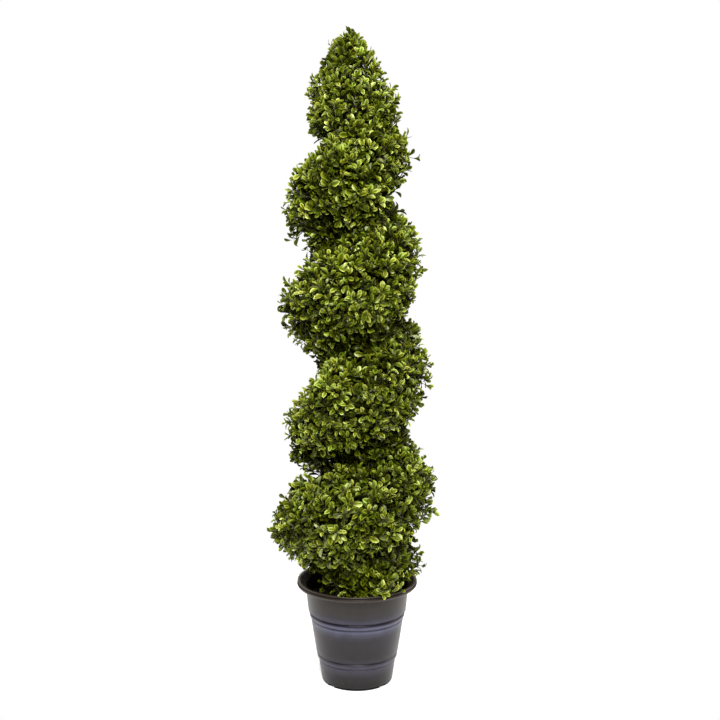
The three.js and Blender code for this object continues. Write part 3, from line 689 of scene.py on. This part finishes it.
def notch_tree():
    """Cuts a ring of drain slots through the foot of the pot."""
    tree, given = new_tree(
        "Drain slots", Count="Int", Width="Float", Height="Float", Inner_radius="Float", Length="Float",
        Material="Material",
    )
    size = node(tree, "ShaderNodeCombineXYZ", {
        "X": given["Length"], "Y": given["Width"], "Z": given["Height"],
    })
    doubled = node(tree, "ShaderNodeVectorMath", {0: size, 1: (1.0, 1.0, 2.0)}, operation="MULTIPLY")
    block = node(tree, "GeometryNodeMeshCube", {"Size": doubled})
    middle = node(tree, "ShaderNodeMath", {
        0: given["Length"], 1: 0.5, 2: given["Inner radius"],
    }, operation="MULTIPLY_ADD")
    shift = node(tree, "ShaderNodeCombineXYZ", {"X": middle})
    cutter = node(tree, "GeometryNodeTransform", {"Geometry": block, "Translation": shift})
    places = node(tree, "GeometryNodeMeshLine", {"Count": given["Count"], "Offset": (0.0, 0.0, 0.0)})
    number = node(tree, "GeometryNodeInputIndex")
    half = node(tree, "ShaderNodeMath", {0: number, 1: 0.5}, operation="ADD")
    part = node(tree, "ShaderNodeMath", {0: half, 1: given["Count"]}, operation="DIVIDE")
    angle = node(tree, "ShaderNodeMath", {0: part, 1: TURN}, operation="MULTIPLY")
    spin = node(tree, "ShaderNodeCombineXYZ", {"Z": angle})
    ring = node(tree, "GeometryNodeInstanceOnPoints", {
        "Points": places, "Instance": cutter, "Rotation": spin,
    })
    cutters = node(tree, "GeometryNodeRealizeInstances", {"Geometry": ring})
    cut = node(tree, "GeometryNodeMeshBoolean", {
        0: given["Geometry"], 1: cutters,
    }, operation="DIFFERENCE", solver="EXACT")
    return finish_tree(tree, cut, given["Material"])


def limb_tree():
    """Turns lines into tapering limbs, from the thickness at each point, with relief on their skin."""
    tree, given = new_tree(
        "Limbs along lines", Sides="Int", Relief="Float", Grain="Float", Material="Material"
    )
    lines = node(tree, "GeometryNodeMeshToCurve", {"Mesh": given["Geometry"]})
    outline = node(tree, "GeometryNodeCurvePrimitiveCircle", {"Resolution": given["Sides"], "Radius": 1.0})
    thickness = node(tree, "GeometryNodeInputNamedAttribute", {"Name": "thickness"}, data_type="FLOAT")
    skin = node(tree, "GeometryNodeCurveToMesh", {
        "Curve": lines, "Profile Curve": outline, "Scale": thickness, "Fill Caps": True,
    })
    smooth = node(tree, "GeometryNodeSetShadeSmooth", {"Geometry": skin})
    grain = node(tree, "ShaderNodeTexNoise", {"Scale": given["Grain"], "Detail": 3.0})
    swollen = node(tree, "ShaderNodeMath", {0: grain, 1: 0.5}, operation="SUBTRACT")
    depth = node(tree, "ShaderNodeMath", {0: swollen, 1: given["Relief"]}, operation="MULTIPLY")
    normal = node(tree, "GeometryNodeInputNormal")
    offset = node(tree, "ShaderNodeVectorMath", {0: normal, "Scale": depth}, operation="SCALE")
    moved = node(tree, "GeometryNodeSetPosition", {"Geometry": smooth, "Offset": offset})
    return finish_tree(tree, moved, given["Material"])


def leaf_tree():
    """Sets a leaf on each point, with the pattern, the lie and the size that the point gives."""
    tree, given = new_tree(
        "Leaves on twigs", Flat_leaf="Object", Cupped_leaf="Object", Curled_leaf="Object",
        Material="Material",
    )
    patterns = node(tree, "GeometryNodeJoinGeometry")
    for label in ("Curled leaf", "Cupped leaf", "Flat leaf"):
        pattern = node(tree, "GeometryNodeObjectInfo", {"Object": given[label], "As Instance": True})
        feed(tree, patterns, {"Geometry": pattern.outputs["Geometry"]})
    kind, lie, size = (
        node(tree, "GeometryNodeInputNamedAttribute", {"Name": name}, data_type=data_type)
        for name, data_type in (("leaf_kind", "INT"), ("lie", "FLOAT_VECTOR"), ("leaf_size", "FLOAT"))
    )
    leaves = node(tree, "GeometryNodeInstanceOnPoints", {
        "Points": given["Geometry"], "Instance": patterns, "Pick Instance": True, "Instance Index": kind,
        "Rotation": lie, "Scale": size,
    })
    return finish_tree(tree, leaves, given["Material"])


def moss_tree():
    """Scatters curled strands over a surface by a fixed seed."""
    tree, given = new_tree(
        "Moss on the fill", Strand="Object", Density="Float", Seed="Int", Material="Material"
    )
    normal = node(tree, "GeometryNodeInputNormal")
    upward = node(tree, "ShaderNodeSeparateXYZ", {"Vector": normal}).outputs["Z"]
    on_top = node(tree, "FunctionNodeCompare", {0: upward, 1: 0.5}, operation="GREATER_THAN")
    spots = node(tree, "GeometryNodeDistributePointsOnFaces", {
        "Mesh": given["Geometry"], "Selection": on_top, "Density": given["Density"], "Seed": given["Seed"],
    })
    spin = node(tree, "FunctionNodeRandomValue", {
        0: (-0.7, -0.7, 0.0), 1: (0.7, 0.7, TURN), "Seed": given["Seed"],
    }, data_type="FLOAT_VECTOR")
    size = node(tree, "FunctionNodeRandomValue", {2: 0.6, 3: 1.3, "Seed": given["Seed"]}, data_type="FLOAT")
    strand = node(tree, "GeometryNodeObjectInfo", {"Object": given["Strand"], "As Instance": True})
    tufts = node(tree, "GeometryNodeInstanceOnPoints", {
        "Points": spots, "Instance": strand.outputs["Geometry"], "Rotation": spin, "Scale": size,
    })
    return finish_tree(tree, tufts, given["Material"])


def make_fill(material):
    """The fill, a closed plug whose top is lumpy, a little higher round the trunk."""
    floor, brim = BASE_THICKNESS + 0.3 * MM, FILL_TOP - FILL_DROP
    low, high = pot_inner_radius(floor) - FILL_GAP, pot_inner_radius(FILL_TOP) - FILL_GAP
    profile = [(0, floor), (low, floor)]
    profile += [(high * (1 - i / FILL_RINGS), brim) for i in range(FILL_RINGS + 1)]
    fill = turned("peat_fill", profile, FILL_SEGMENTS, material)
    for vertex in fill.data.vertices:
        x, y, z = vertex.co
        if z > brim - 1 * MM:
            inward = max(0.0, 1 - math.hypot(x, y) / high)
            lumps = noise.fractal(Vector((x, y, 0)) / LUMP_SIZE, 1.0, 2.0, 3)
            vertex.co.z += min(FILL_DROP, (2.2 * lumps + 1.5 * inward) * MM) * min(1.0, 6 * inward)
    fill.data.update()
    return fill


def make_moss(fill, material):
    """Curled strands of moss over the fill, each grown from one three-sided pattern."""
    run, sway, rise = MOSS_CURL
    line = [
        (run * share, sway * math.sin(3 * share), rise * math.sin(2.2 * share))
        for share in np.arange(MOSS_STEPS) / MOSS_STEPS
    ]
    strand = make_limbs("moss_strand", np.array([line]), np.linspace(*MOSS_RADII, MOSS_STEPS), material)
    moss = grown(link(fill.data.copy(), "moss"), moss_tree(), {
        "Strand": strand, "Density": MOSS_DENSITY, "Seed": MOSS_SEED, "Material": material,
    })
    bpy.data.objects.remove(strand)
    return moss


def trunk_radius(height):
    """How thick the trunk is, from its axis, at a height: it tapers, and flares at its foot."""
    share = (height - TRUNK_FOOT) / (TRUNK_TIP - TRUNK_FOOT)
    pole = TRUNK_FOOT_RADIUS + (TRUNK_TIP_RADIUS - TRUNK_FOOT_RADIUS) * share
    flare = np.maximum(0, 1 - (height - TRUNK_FOOT) / TRUNK_FLARE["height"])
    return pole + (TRUNK_FLARE["radius"] - TRUNK_FOOT_RADIUS) * flare ** 2


def bark_point(x, y, height, around, length):
    """A place on the bark in units of its noise, which changes round the trunk and along it."""
    return Vector((x * around, y * around, height / length))


def make_trunk(material):
    """The trunk, with furrows that run up its bark and a few knots."""
    heights = np.append(np.arange(TRUNK_FOOT, TRUNK_TIP, TRUNK_STEP), TRUNK_TIP)
    points = []
    for height in heights:
        radius = trunk_radius(height)
        for i in range(TRUNK_SIDES):
            x, y, _ = polar(1.0, i / TRUNK_SIDES, 0.0)
            furrow = noise.fractal(bark_point(x, y, height, *FURROWS), 0.9, 2.1, 3)
            knot = noise.noise(bark_point(x, y, height, *KNOTS)) - KNOT_RARITY
            skin = min(0.0, furrow) * FURROW_DEPTH + KNOT_HEIGHT * max(0.0, knot)
            relief = BARK_RELIEF * (radius / TRUNK_FOOT_RADIUS) * skin
            points.append(leaned(polar(radius - 0.2 * MM + relief, i / TRUNK_SIDES, height)))
    last = (len(heights) - 1) * TRUNK_SIDES
    faces = ring_faces(len(heights), TRUNK_SIDES)
    faces += [tuple(reversed(range(TRUNK_SIDES))), tuple(last + i for i in range(TRUNK_SIDES))]
    return solid("trunk_bark", points, faces, material, BARK_CREASE)


def climbed(turn):
    """The height of the strand's middle at a turn."""
    return HEIGHT_AT_TURN_0 + PITCH * turn


def bough_reach(height):
    """How far out the bough runs at a height."""
    return BOUGH_SHARE * along(LEAFY_REACH, height)


def bough_at(turn):
    """The place of the bough at a turn."""
    height = climbed(turn)
    return polar(bough_reach(height), turn, np.maximum(height, BOUGH_FLOOR))


def bumps(places, span, turn, height):
    """The sum, at a turn and a height, of soft bumps of one span at (turn, height, millimetres) places."""
    total = np.zeros(np.broadcast(turn, height).shape)
    for centre, middle, size in places:
        aside = (turn - centre + 0.5) % 1 - 0.5
        total += size * MM * np.exp(-(aside / span[0]) ** 2 - ((height - middle) / span[1]) ** 2)
    return total


def swell(turn, height):
    """How much further out the foliage stands at a turn and a height than its rule says."""
    return bumps(SWELLS, SWELL_SPAN, turn, height) + bumps(HOLLOWS, HOLLOW_SPAN, turn, height)


def spray_reach(height):
    """How far out twigs end, so that the leaves past their tips stand dense as far as they should."""
    return along(LEAFY_REACH, height) - LEAF_OVERHANG


def strand_point(turn, angle, share):
    """A place in the strand: angle 0 is outwards, a quarter turn is up, and share is 1 on its surface."""
    height = climbed(turn)
    reach = spray_reach(height)
    centre = reach * along(INNER_SHARES, height)
    half_thickness = along(HALF_THICKNESSES, height) - LEAF_OVERHANG
    outward, upward = (
        np.sign(part) * np.abs(part) ** (2 / ROUNDNESS) for part in (np.cos(angle), np.sin(angle))
    )
    height = height + share * half_thickness * upward
    radius = np.maximum(STRAND_CORE, centre + share * (reach - centre) * outward + swell(turn, height))
    return polar(radius, turn, height)


def clump(points, size):
    """Soft bumps from -1 to 1 over space, so that neighbours share a tint and a depth."""
    return np.array([noise.noise(Vector(p) / size) for p in points])


def uneven(points, random, middle, swing, size, scatter):
    """Depths of sprays, as shares of the reach, that drift from clump to clump, with a scatter on top."""
    return middle + swing * clump(points, size) + scatter * (random.random(len(points)) - 0.5)


def sprays(tips, outwards, anchors, depth=1.0, lift=0.0):
    """Sites of sprays: tips, outward directions, what they spring from, how deep they sit, and their painted
    light (painted shade below 0).
    """
    return tips, unit(outwards), anchors, np.full(len(tips), depth), np.full(len(tips), lift)


def strand_sites(random):
    """Sprays all over the strand, in staggered rows."""
    rows, places = (part.ravel() for part in np.mgrid[:TWIG_ROWS * MASSES_IN_SPIRAL, :TWIGS_PER_ROW])
    count = len(rows)
    step = (LAST_TURN - FIRST_TURN) / (TWIG_ROWS * MASSES_IN_SPIRAL)
    turn = FIRST_TURN + step * (rows + 0.5 + SITE_JITTER * (random.random(count) - 0.5))
    jitter = SITE_JITTER * (random.random(count) - 0.5)
    angle = (0.5 - (places + 0.5 + jitter + STAGGER * (-1.0) ** rows) / TWIGS_PER_ROW) * TWIG_ARC
    surface = strand_point(turn, angle, 1.0)
    radius = np.hypot(surface[:, 0], surface[:, 1])
    kept = random.random(count) < (radius / along(LEAFY_REACH, surface[:, 2])) ** THINNING
    turn, angle, surface = turn[kept], angle[kept], surface[kept]
    count = len(turn)
    depth = uneven(surface, random, *STRAND_DEPTH)
    share, least, more = SUNK
    depth = np.where(random.random(count) < share, depth - least - more * random.random(count), depth)
    tips = strand_point(turn, angle, depth)
    outwards = polar(np.cos(angle), turn, np.sin(angle) + 0.2)
    anchors = bough_at(turn - BOUGH_LAG[0] - BOUGH_LAG[1] * random.random(count))
    # painted light on the strand's upper side, painted shade on its underside
    return sprays(tips, outwards, anchors, depth, np.sin(angle))


def gap_sites(random):
    """Sprays set deep between one turn of the strand and the next."""
    turn = FIRST_TURN + GAP_TURNS[0] + (LAST_TURN - FIRST_TURN - GAP_TURNS[1]) * random.random(GAP_TWIGS)
    height = climbed(turn + 0.5) + GAP_HALF * (2 * random.random(GAP_TWIGS) - 1)
    share = along(GAP_REACHES, turn % 1) * (1 - 0.2 * random.random(GAP_TWIGS))
    radius = share * spray_reach(height) + np.minimum(0, swell(turn, height)) / 2
    outwards = polar(1.0, turn, 0.3 * random.normal(size=GAP_TWIGS))
    anchors = polar(BRANCH_START, turn, height - 12 * MM)
    # painted shade on the sprays deep in the gap between turns
    return sprays(polar(radius, turn, height), outwards, anchors, 0.8, -0.3)


def core_sites(random):
    """Sprays inside the strand, close round its bough."""
    turn = FIRST_TURN + (LAST_TURN - FIRST_TURN) * random.random(CORE_TWIGS)
    angle = TURN * random.random(CORE_TWIGS)
    tips = strand_point(turn, angle, CORE_DEPTH[0] + CORE_DEPTH[1] * random.random(CORE_TWIGS))
    anchors = polar(BRANCH_START, turn, np.clip(tips[:, 2] - 20 * MM, STEM_FLOOR, STEM_CEILING))
    # painted shade on the sprays inside the strand
    return sprays(tips, polar(np.cos(angle), turn, np.sin(angle)), anchors, 0.6, -0.6)


def crown_sites(random):
    """Sprays of the crown, up to its tip."""
    number = np.arange(CROWN_TWIGS)
    rise = 1 - (1 - (number + 0.5) / CROWN_TWIGS) ** CROWN_CROWDING
    height = CROWN_FLOOR + (TOTAL_HEIGHT - LEAF_OVERHANG - CROWN_FLOOR) * rise
    turn = GOLDEN_TURN * number + 0.03 * random.random(CROWN_TWIGS)
    depth = uneven(polar(0.09, turn, height), random, *CROWN_DEPTH)
    reach = spray_reach(height) + swell(turn, height)
    tips = polar(np.maximum(reach, 2 * MM) * depth, turn, height)
    anchors = polar(6 * MM, turn, np.minimum(height - 55 * MM, STEM_CEILING))
    # painted light on the crown's sprays
    return sprays(tips, polar(1.0, turn, 0.35 + 1.6 * rise ** 2), anchors, depth, 0.4)


def mouth_sites(random):
    """Sprays that stand up out of the pot's mouth."""
    turn = MOUTH_TURNS[0] + (MOUTH_TURNS[1] - MOUTH_TURNS[0]) * random.random(MOUTH_TWIGS)
    radius = MOUTH_RADII[0] + MOUTH_RADII[1] * np.sqrt(random.random(MOUTH_TWIGS))
    height = MOUTH_HEIGHTS[0] + MOUTH_HEIGHTS[1] * random.random(MOUTH_TWIGS)
    outwards = polar(0.6, turn, 0.9 + 0.3 * random.random(MOUTH_TWIGS))
    # painted shade on the sprays in the pot's mouth
    return sprays(polar(radius, turn, height), outwards, polar(20 * MM, turn, STEM_FLOOR), 0.9, -3.5)


def rim_sites():
    """Sprays that hang over the pot's rim."""
    turn, reach, height = np.array(RIM_SPRAYS).T
    return sprays(
        polar(reach, turn, height), polar(1.0, turn, -0.25), polar(reach - 80 * MM, turn, height + 20 * MM)
    )


def sprig_sites():
    """The slim sprigs that end the crown."""
    turn, reach, height = np.array(TIP_SPRIGS).T
    return sprays(polar(reach, turn, height), polar(1.0, turn, 2.4), polar(3 * MM, turn, height - 60 * MM))


def stray_sites(random):
    """The few sprays that stand out of the rest, each on a branch from the nearest turn of the bough."""
    turn, height, reach = np.array(STRAYS).T
    count = len(turn)
    nearest = climbed(turn + np.round((height - HEIGHT_AT_TURN_0) / PITCH - turn))
    anchors = polar(bough_reach(nearest), turn, np.minimum(nearest, TRUNK_TIP - 90 * MM))
    turn = turn + 0.01 * random.normal(size=count)
    height = np.minimum(height + 7 * MM * random.normal(size=count), TOTAL_HEIGHT - LEAF_OVERHANG)
    tips = polar(np.maximum(reach - LEAF_OVERHANG - 9 * MM * random.random(count), 2 * MM), turn, height)
    outwards = unit(tips - anchors) + polar(0.6, turn, 0.25 * random.normal(size=count))
    return sprays(tips, outwards, anchors)


def turned_aside(directions, most, random):
    """The same directions, each turned by up to an angle to a side drawn for it."""
    jitter = random.normal(size=directions.shape)
    jitter -= directions * np.sum(jitter * directions, axis=-1, keepdims=True)
    amount = most * np.sqrt(random.random(len(directions)))
    return unit(directions * np.cos(amount)[:, None] + unit(jitter) * np.sin(amount)[:, None])


def clear_of_limbs(points):
    """True where a point stays out of the pot, its fill and the trunk, and below the top."""
    radius = np.hypot(points[..., 0], points[..., 1])
    height = points[..., 2]
    inside_mouth = (radius < pot_inner_radius(height) - RIM_ROOM) & (height > FILL_TOP + RIM_ROOM)
    past_rim = (radius > RIM_RADIUS + LEAF_ROOM) & (height > RIM_HANG)
    around_pot = (height > POT_HEIGHT + RIM_ROOM) | inside_mouth | past_rim
    off_trunk = (height > TRUNK_TIP + TIP_ROOM) | (radius > trunk_radius(height) + LEAF_ROOM)
    return around_pot & off_trunk & (height < TOTAL_HEIGHT - TOP_ROOM)


def within_reach(points, slack):
    """True where a point stays within the foliage's reach, with some slack for the sprays that stand out."""
    turn, height = np.arctan2(points[..., 1], points[..., 0]) / TURN, points[..., 2]
    clipped = bumps(CLIPPED, CLIP_SPAN, turn, height)
    limit = along(REACH, height) + np.maximum(0, swell(turn, height)) + slack - clipped
    return np.hypot(points[..., 0], points[..., 1]) < limit


def grow_twigs(random):
    """Twigs as curved lines that end at the spray sites, with their tints, anchors and slack."""
    ruled = [grow(random) for grow in (strand_sites, gap_sites, core_sites, crown_sites, mouth_sites)]
    placed = [rim_sites(), sprig_sites(), stray_sites(random)]
    tips, outwards, anchors, depths, painted_light_and_shade = (np.concatenate(part) for part in zip(*ruled, *placed))
    count = len(tips)
    loose = np.arange(count) >= sum(len(site[0]) for site in ruled)
    outwards = np.where(loose[:, None], outwards, turned_aside(outwards, MOST_ASIDE, random))
    length = TWIG_LENGTH[0] + (TWIG_LENGTH[1] - TWIG_LENGTH[0]) * random.random(count)
    roots = tips - outwards * length[:, None]
    bend = polar(0.0, 0.0, TWIG_BEND[0] * (random.random(count) - TWIG_BEND[1]) * length)
    tint = TINT["clump"] * clump(tips, TINT_CLUMP) + TINT["spray"] * (2 * random.random(count) - 1)
    # painted light high on the strand and on the crown, painted shade under it, inside it and in the pot's
    # mouth
    tint = tint + TINT["lift"] * painted_light_and_shade
    # painted shade on the sprays deep in the strand
    tint = np.where(depths < DEEP_SHADE[0], tint - DEEP_SHADE[1], tint)
    # painted shade on the sprays at the plant's two sides
    sideways = np.abs(tips[:, 0]) / np.hypot(tips[:, 0], tips[:, 1])
    tint -= FLANK_SHADE[2] * np.clip((sideways - FLANK_SHADE[0]) / FLANK_SHADE[1], 0, 1)
    kept = clear_of_limbs(tips) & clear_of_limbs(roots) & clear_of_limbs((tips + roots) / 2)
    turn = np.arctan2(tips[:, 1], tips[:, 0]) / TURN
    clipped = polar(bumps(CLIPPED, CLIP_SPAN, turn, tips[:, 2]), turn, 0.0)
    twigs = {
        "tips": tips - clipped, "roots": roots - clipped, "bend": bend, "tint": tint, "anchors": anchors,
        "slack": np.where(loose, PLACED_SLACK, 0.0),
    }
    return {name: value[kept] for name, value in twigs.items()}


def twig_at(twigs, share):
    """The place and the direction of each twig at shares of its length, as arrays of (twig, share, 3)."""
    share = np.asarray(share)[None, :, None]
    start, end, bend = (twigs[key][:, None, :] for key in ("roots", "tips", "bend"))
    place = start + (end - start) * share + bend * (share ** 2 - share)
    direction = unit((end - start) + bend * (2 * share - 1))
    return place, direction


def turned_from(first, second, angle):
    """Directions between two that stand square to each other: an angle on from the first to the second."""
    return first * np.cos(angle)[..., None] + second * np.sin(angle)[..., None]


def grow_leaves(twigs, random):
    """Leaves in opposite pairs, each pair across the last, and one at the tip, with lies and tints."""
    pair = np.repeat(np.arange(LEAF_PAIRS), 2)
    share = np.append(LEAF_SPREAD[0] + LEAF_SPREAD[1] * pair / (LEAF_PAIRS - 1), 1.0)
    splay = np.append(np.interp(pair, [0, LEAF_PAIRS - 1], LEAF_SPLAY), TIP_LEAF_SPLAY)
    roll = np.append(0.25 * pair + np.tile([0.0, 0.5], LEAF_PAIRS), 0.0)
    size = np.append(np.interp(pair, *PAIR_SIZES), TIP_LEAF_SIZE)
    place, direction = twig_at(twigs, share)
    shape = place.shape[:2]
    count = len(place)
    spin = roll[None, :] + random.random((count, 1)) + LEAF_SCATTER["roll"] * random.normal(size=shape)
    aside = unit(np.cross(direction, np.array([0.31, 0.52, 0.79])))  # to any side of the twig
    outward = turned_from(aside, np.cross(direction, aside), TURN * spin)
    tilt = splay[None, :] + LEAF_SCATTER["tilt"] * random.normal(size=shape)
    heading = turned_from(direction, outward, tilt)
    heading[..., 2] += LEAF_UPTURN
    heading = unit(heading)
    face = direction * np.sin(tilt)[..., None] - outward * np.cos(tilt)[..., None]
    beside = unit(np.cross(heading, face))
    twist = LEAF_SCATTER["twist"] * random.normal(size=shape)
    beside = unit(turned_from(beside, np.cross(heading, beside), twist))
    face = unit(np.cross(beside, heading))
    varied = np.clip(1 + LEAF_SCATTER["size"] * random.normal(size=shape), *SIZE_LIMITS)
    length = LEAF_LENGTH * size[None, :] * varied
    length = length * (SPRAY_SIZES[0] + SPRAY_SIZES[1] * random.random((count, 1)))
    stem = place + outward * LEAF_STALK
    end = stem + heading * length[..., None]
    wide = stem + heading * (0.66 * length)[..., None]
    half = beside * (0.5 * LEAF_WIDTH_SHARE * length)[..., None]
    probes = np.stack([stem, (stem + end) / 2, wide + half, wide - half, end])
    free = np.all(clear_of_limbs(probes) & within_reach(probes, twigs["slack"][:, None]), axis=0)
    axes = np.stack([beside, heading, face], axis=-1)
    kind = random.integers(0, len(LEAF_PATTERNS), size=shape)
    tint = np.broadcast_to(twigs["tint"][:, None], shape) + TINT["leaf"] * random.normal(size=shape)
    # lighter towards the twig's tip: partly fresh growth, partly painted shade towards the spray's base
    tint = tint + TINT["outward"] * (share[None, :] - TINT_MIDDLE)
    leaves = {"place": leaned(stem), "axes": axes, "size": length, "kind": kind, "tint": tint}
    return {name: value[free] for name, value in leaves.items()}


def euler(axes):
    """The XYZ Euler angles of rotations whose columns are the turned axes."""
    y = np.arcsin(np.clip(-axes[:, 2, 0], -1, 1))
    x = np.arctan2(axes[:, 2, 1], axes[:, 2, 2])
    z = np.arctan2(axes[:, 1, 0], axes[:, 0, 0])
    return np.stack([x, y, z], axis=-1)


def points_mesh(name, points, attributes, edges=()):
    """An object of bare points, and edges between them, whose points carry (name, kind, field, values)."""
    mesh = bpy.data.meshes.new(name)
    mesh.vertices.add(len(points))
    mesh.vertices.foreach_set("co", points.astype(np.float32).ravel())
    mesh.edges.add(len(edges))
    if len(edges):
        mesh.edges.foreach_set("vertices", edges.astype(np.int32).ravel())
    for label, kind, field, values in attributes:
        mesh.attributes.new(label, kind, "POINT").data.foreach_set(field, values.ravel())
    mesh.update()
    return link(mesh, name)


def make_limbs(name, lines, thickness, material, sides=3, relief=0.0, grain=100.0):
    """Tapering limbs along lines, an array of (line, point, 3), by their thickness at each point."""
    count, steps = lines.shape[:2]
    start = (np.arange(count)[:, None] * steps + np.arange(steps - 1)[None, :]).ravel()
    thickness = np.broadcast_to(thickness, (count, steps)).astype(np.float32)
    edges = np.stack([start, start + 1], axis=-1)
    base = points_mesh(name, lines.reshape(-1, 3), [("thickness", "FLOAT", "value", thickness)], edges)
    return grown(base, limb_tree(), {"Sides": sides, "Relief": relief, "Grain": grain, "Material": material})


def make_leaf(name, edge_lift, tip_curl, material):
    """An obovate leaf of unit length along +Y, folded on its midrib, with lifted edges and a curled tip."""
    def bowed(y):
        return LEAF_BOW * math.sin(math.pi * y) + tip_curl * y ** 2.2

    ridge = [(0.0, y, bowed(y)) for y in MIDRIB_BENDS]
    edges = [(w, y, bowed(y) + edge_lift * 2 * w / LEAF_WIDTH_SHARE) for y, w in EDGE_BENDS]
    points = ridge + edges + [(-x, y, z) for x, y, z in edges]
    faces = []
    for side, way in ((4, 1), (8, -1)):
        half = [
            (0, side, 1), (side, side + 1, 1), (1, side + 1, side + 2, 2), (2, side + 2, side + 3),
            (2, side + 3, 3),
        ]
        faces += [face[::way] for face in half]
    leaf = solid(name, points, faces, material, LEAF_FOLD)
    leaf.data.attributes.new("rim", "FLOAT", "POINT").data.foreach_set("value", RIM_SHARES)
    return leaf


def make_leaves(twigs, random, materials):
    """The leaves in five shades, dealt out by spray, each shade as plain meshes."""
    leaves = grow_leaves(twigs, random)
    patterns = [make_leaf(name, lift, curl, materials[0]) for name, (lift, curl) in LEAF_PATTERNS.items()]
    tree = leaf_tree()
    shades = np.searchsorted(np.quantile(leaves["tint"], SHADE_LIMITS), leaves["tint"])
    made = []
    for number, (name, *_) in enumerate(LEAF_SHADES):
        chosen = shades == number
        place, axes, size, kind = (leaves[key][chosen] for key in ("place", "axes", "size", "kind"))
        cloud = points_mesh(f"leaves_{name}", place, [
            ("lie", "FLOAT_VECTOR", "vector", euler(axes).astype(np.float32)),
            ("leaf_size", "FLOAT", "value", size.astype(np.float32)),
            ("leaf_kind", "INT", "value", kind.astype(np.int32)),
        ])
        made.append(grown(cloud, tree, {
            "Flat leaf": patterns[0], "Cupped leaf": patterns[1], "Curled leaf": patterns[2],
            "Material": materials[number],
        }))
    for pattern in patterns:
        bpy.data.objects.remove(pattern)
    return made


def make_twigs(twigs, material):
    """Each spray's branch from the bough and its twig, as one tapering line."""
    place, _ = twig_at(twigs, TWIG_POINTS)
    anchor = twigs["anchors"]
    middle = (anchor + twigs["roots"]) / 2
    middle[:, 2] -= BRANCH_SAG * np.linalg.norm(twigs["roots"] - anchor, axis=-1)
    lines = np.concatenate([anchor[:, None], middle[:, None], place], axis=1)
    return make_limbs("twigs", leaned(lines), LIMB_RADII, material)


def make_boughs(material):
    """The stems from the trunk and the bough that follows the strand's middle."""
    step = (LAST_TURN - FIRST_TURN) / MASSES_IN_SPIRAL
    lines, thickness = [], []
    for number in range(MASSES_IN_SPIRAL):
        start = FIRST_TURN + step * number
        middle = start + step / 2
        height = max(climbed(middle), BOUGH_FLOOR)
        out = np.linspace(trunk_radius(height), bough_reach(height), BOUGH_STEPS)
        lines += [bough_at(np.linspace(start, start + step, BOUGH_STEPS)), polar(out, middle, height)]
        thickness.append(np.full(BOUGH_STEPS, BOUGH_RADIUS))
        thickness.append(np.linspace(STEM_RADIUS, BOUGH_RADIUS, BOUGH_STEPS))
    return make_limbs(
        "boughs", leaned(lines), np.array(thickness), material, BOUGH_SIDES, BOUGH_RELIEF, 1 / BOUGH_GRAIN
    )


def make_camera():
    """The camera, set at the photograph's viewing angle."""
    camera = link(bpy.data.cameras.new("camera"), "camera")
    camera.data.lens = CAMERA_LENS
    camera.location = (CAMERA_ASIDE, -CAMERA_DISTANCE, CAMERA_HEIGHT)
    camera.rotation_euler = (math.pi / 2 - CAMERA_PITCH, 0, 0)
    bpy.context.scene.camera = camera


def add_softbox(name, place, aim, size, power, colour):
    """A square area light at a place, aimed at a point."""
    lamp = bpy.data.lights.new(name, "AREA")
    lamp.size = size
    lamp.energy = power
    lamp.color = srgb(colour)[:3]
    made = link(lamp, name)
    made.location = place
    made.rotation_euler = (Vector(aim) - Vector(place)).to_track_quat("-Z", "Y").to_euler()


def make_studio():
    """A white surround, dimmer as a light than it looks, a pale floor and large soft lights."""
    world = bpy.data.worlds.new("white_surround")
    world.use_nodes = True
    tree = world.node_tree
    seen = node(tree, "ShaderNodeLightPath").outputs["Is Camera Ray"]
    strength = node(tree, "ShaderNodeMapRange", {"Value": seen, "To Min": SURROUND_LIGHT, "To Max": 1.0})
    feed(tree, tree.nodes["Background"], {"Color": (1, 1, 1, 1), "Strength": strength})
    bpy.context.scene.world = world
    bpy.context.scene.view_settings.view_transform = "Standard"
    corners = [(x * FLOOR_HALF, y * FLOOR_HALF, 0) for x, y in ((-1, -1), (1, -1), (1, 1), (-1, 1))]
    floor = solid("studio_floor", corners, [(0, 1, 2, 3)], floor_material())
    ceiling = bpy.data.lights.new("ceiling_light", "SUN")
    ceiling.energy = CEILING_LIGHT
    ceiling.angle = CEILING_SPREAD
    link(ceiling, "ceiling_light")
    for lamp in SOFTBOXES:
        add_softbox(*lamp)


def dress(piece, slot, *nodes):
    """Puts a piece on the plant's one body, and hides the solids of the frame that it is drawn in place of.
    """
    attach(piece, "root")
    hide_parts(*nodes)


def main():
    """Makes the camera, the studio and the plant, piece by piece."""
    make_camera()
    make_studio()
    random = np.random.default_rng(SEED)
    bark = bark_material()
    pot = make_pot(pot_material())
    fill = make_fill(fill_material())
    moss = make_moss(fill, moss_material())
    trunk = make_trunk(bark)
    twigs = grow_twigs(random)
    leaf_materials = [
        moulded_leaf_material(f"moulded_leaf_polyethylene_{name}", *colours)
        for name, *colours in LEAF_SHADES
    ]
    leaves = make_leaves(twigs, random, leaf_materials)
    stems = make_twigs(twigs, twig_material())
    boughs = make_boughs(bark)
    dress(pot, "pot", "pot")
    dress(fill, "fill", "pot_fill")
    dress(moss, "fill", "pot_fill")
    dress(trunk, "trunk", "trunk")
    dress(boughs, "trunk", *MASSES)
    for piece in (stems, *leaves):
        dress(piece, "foliage", *MASSES)


main()
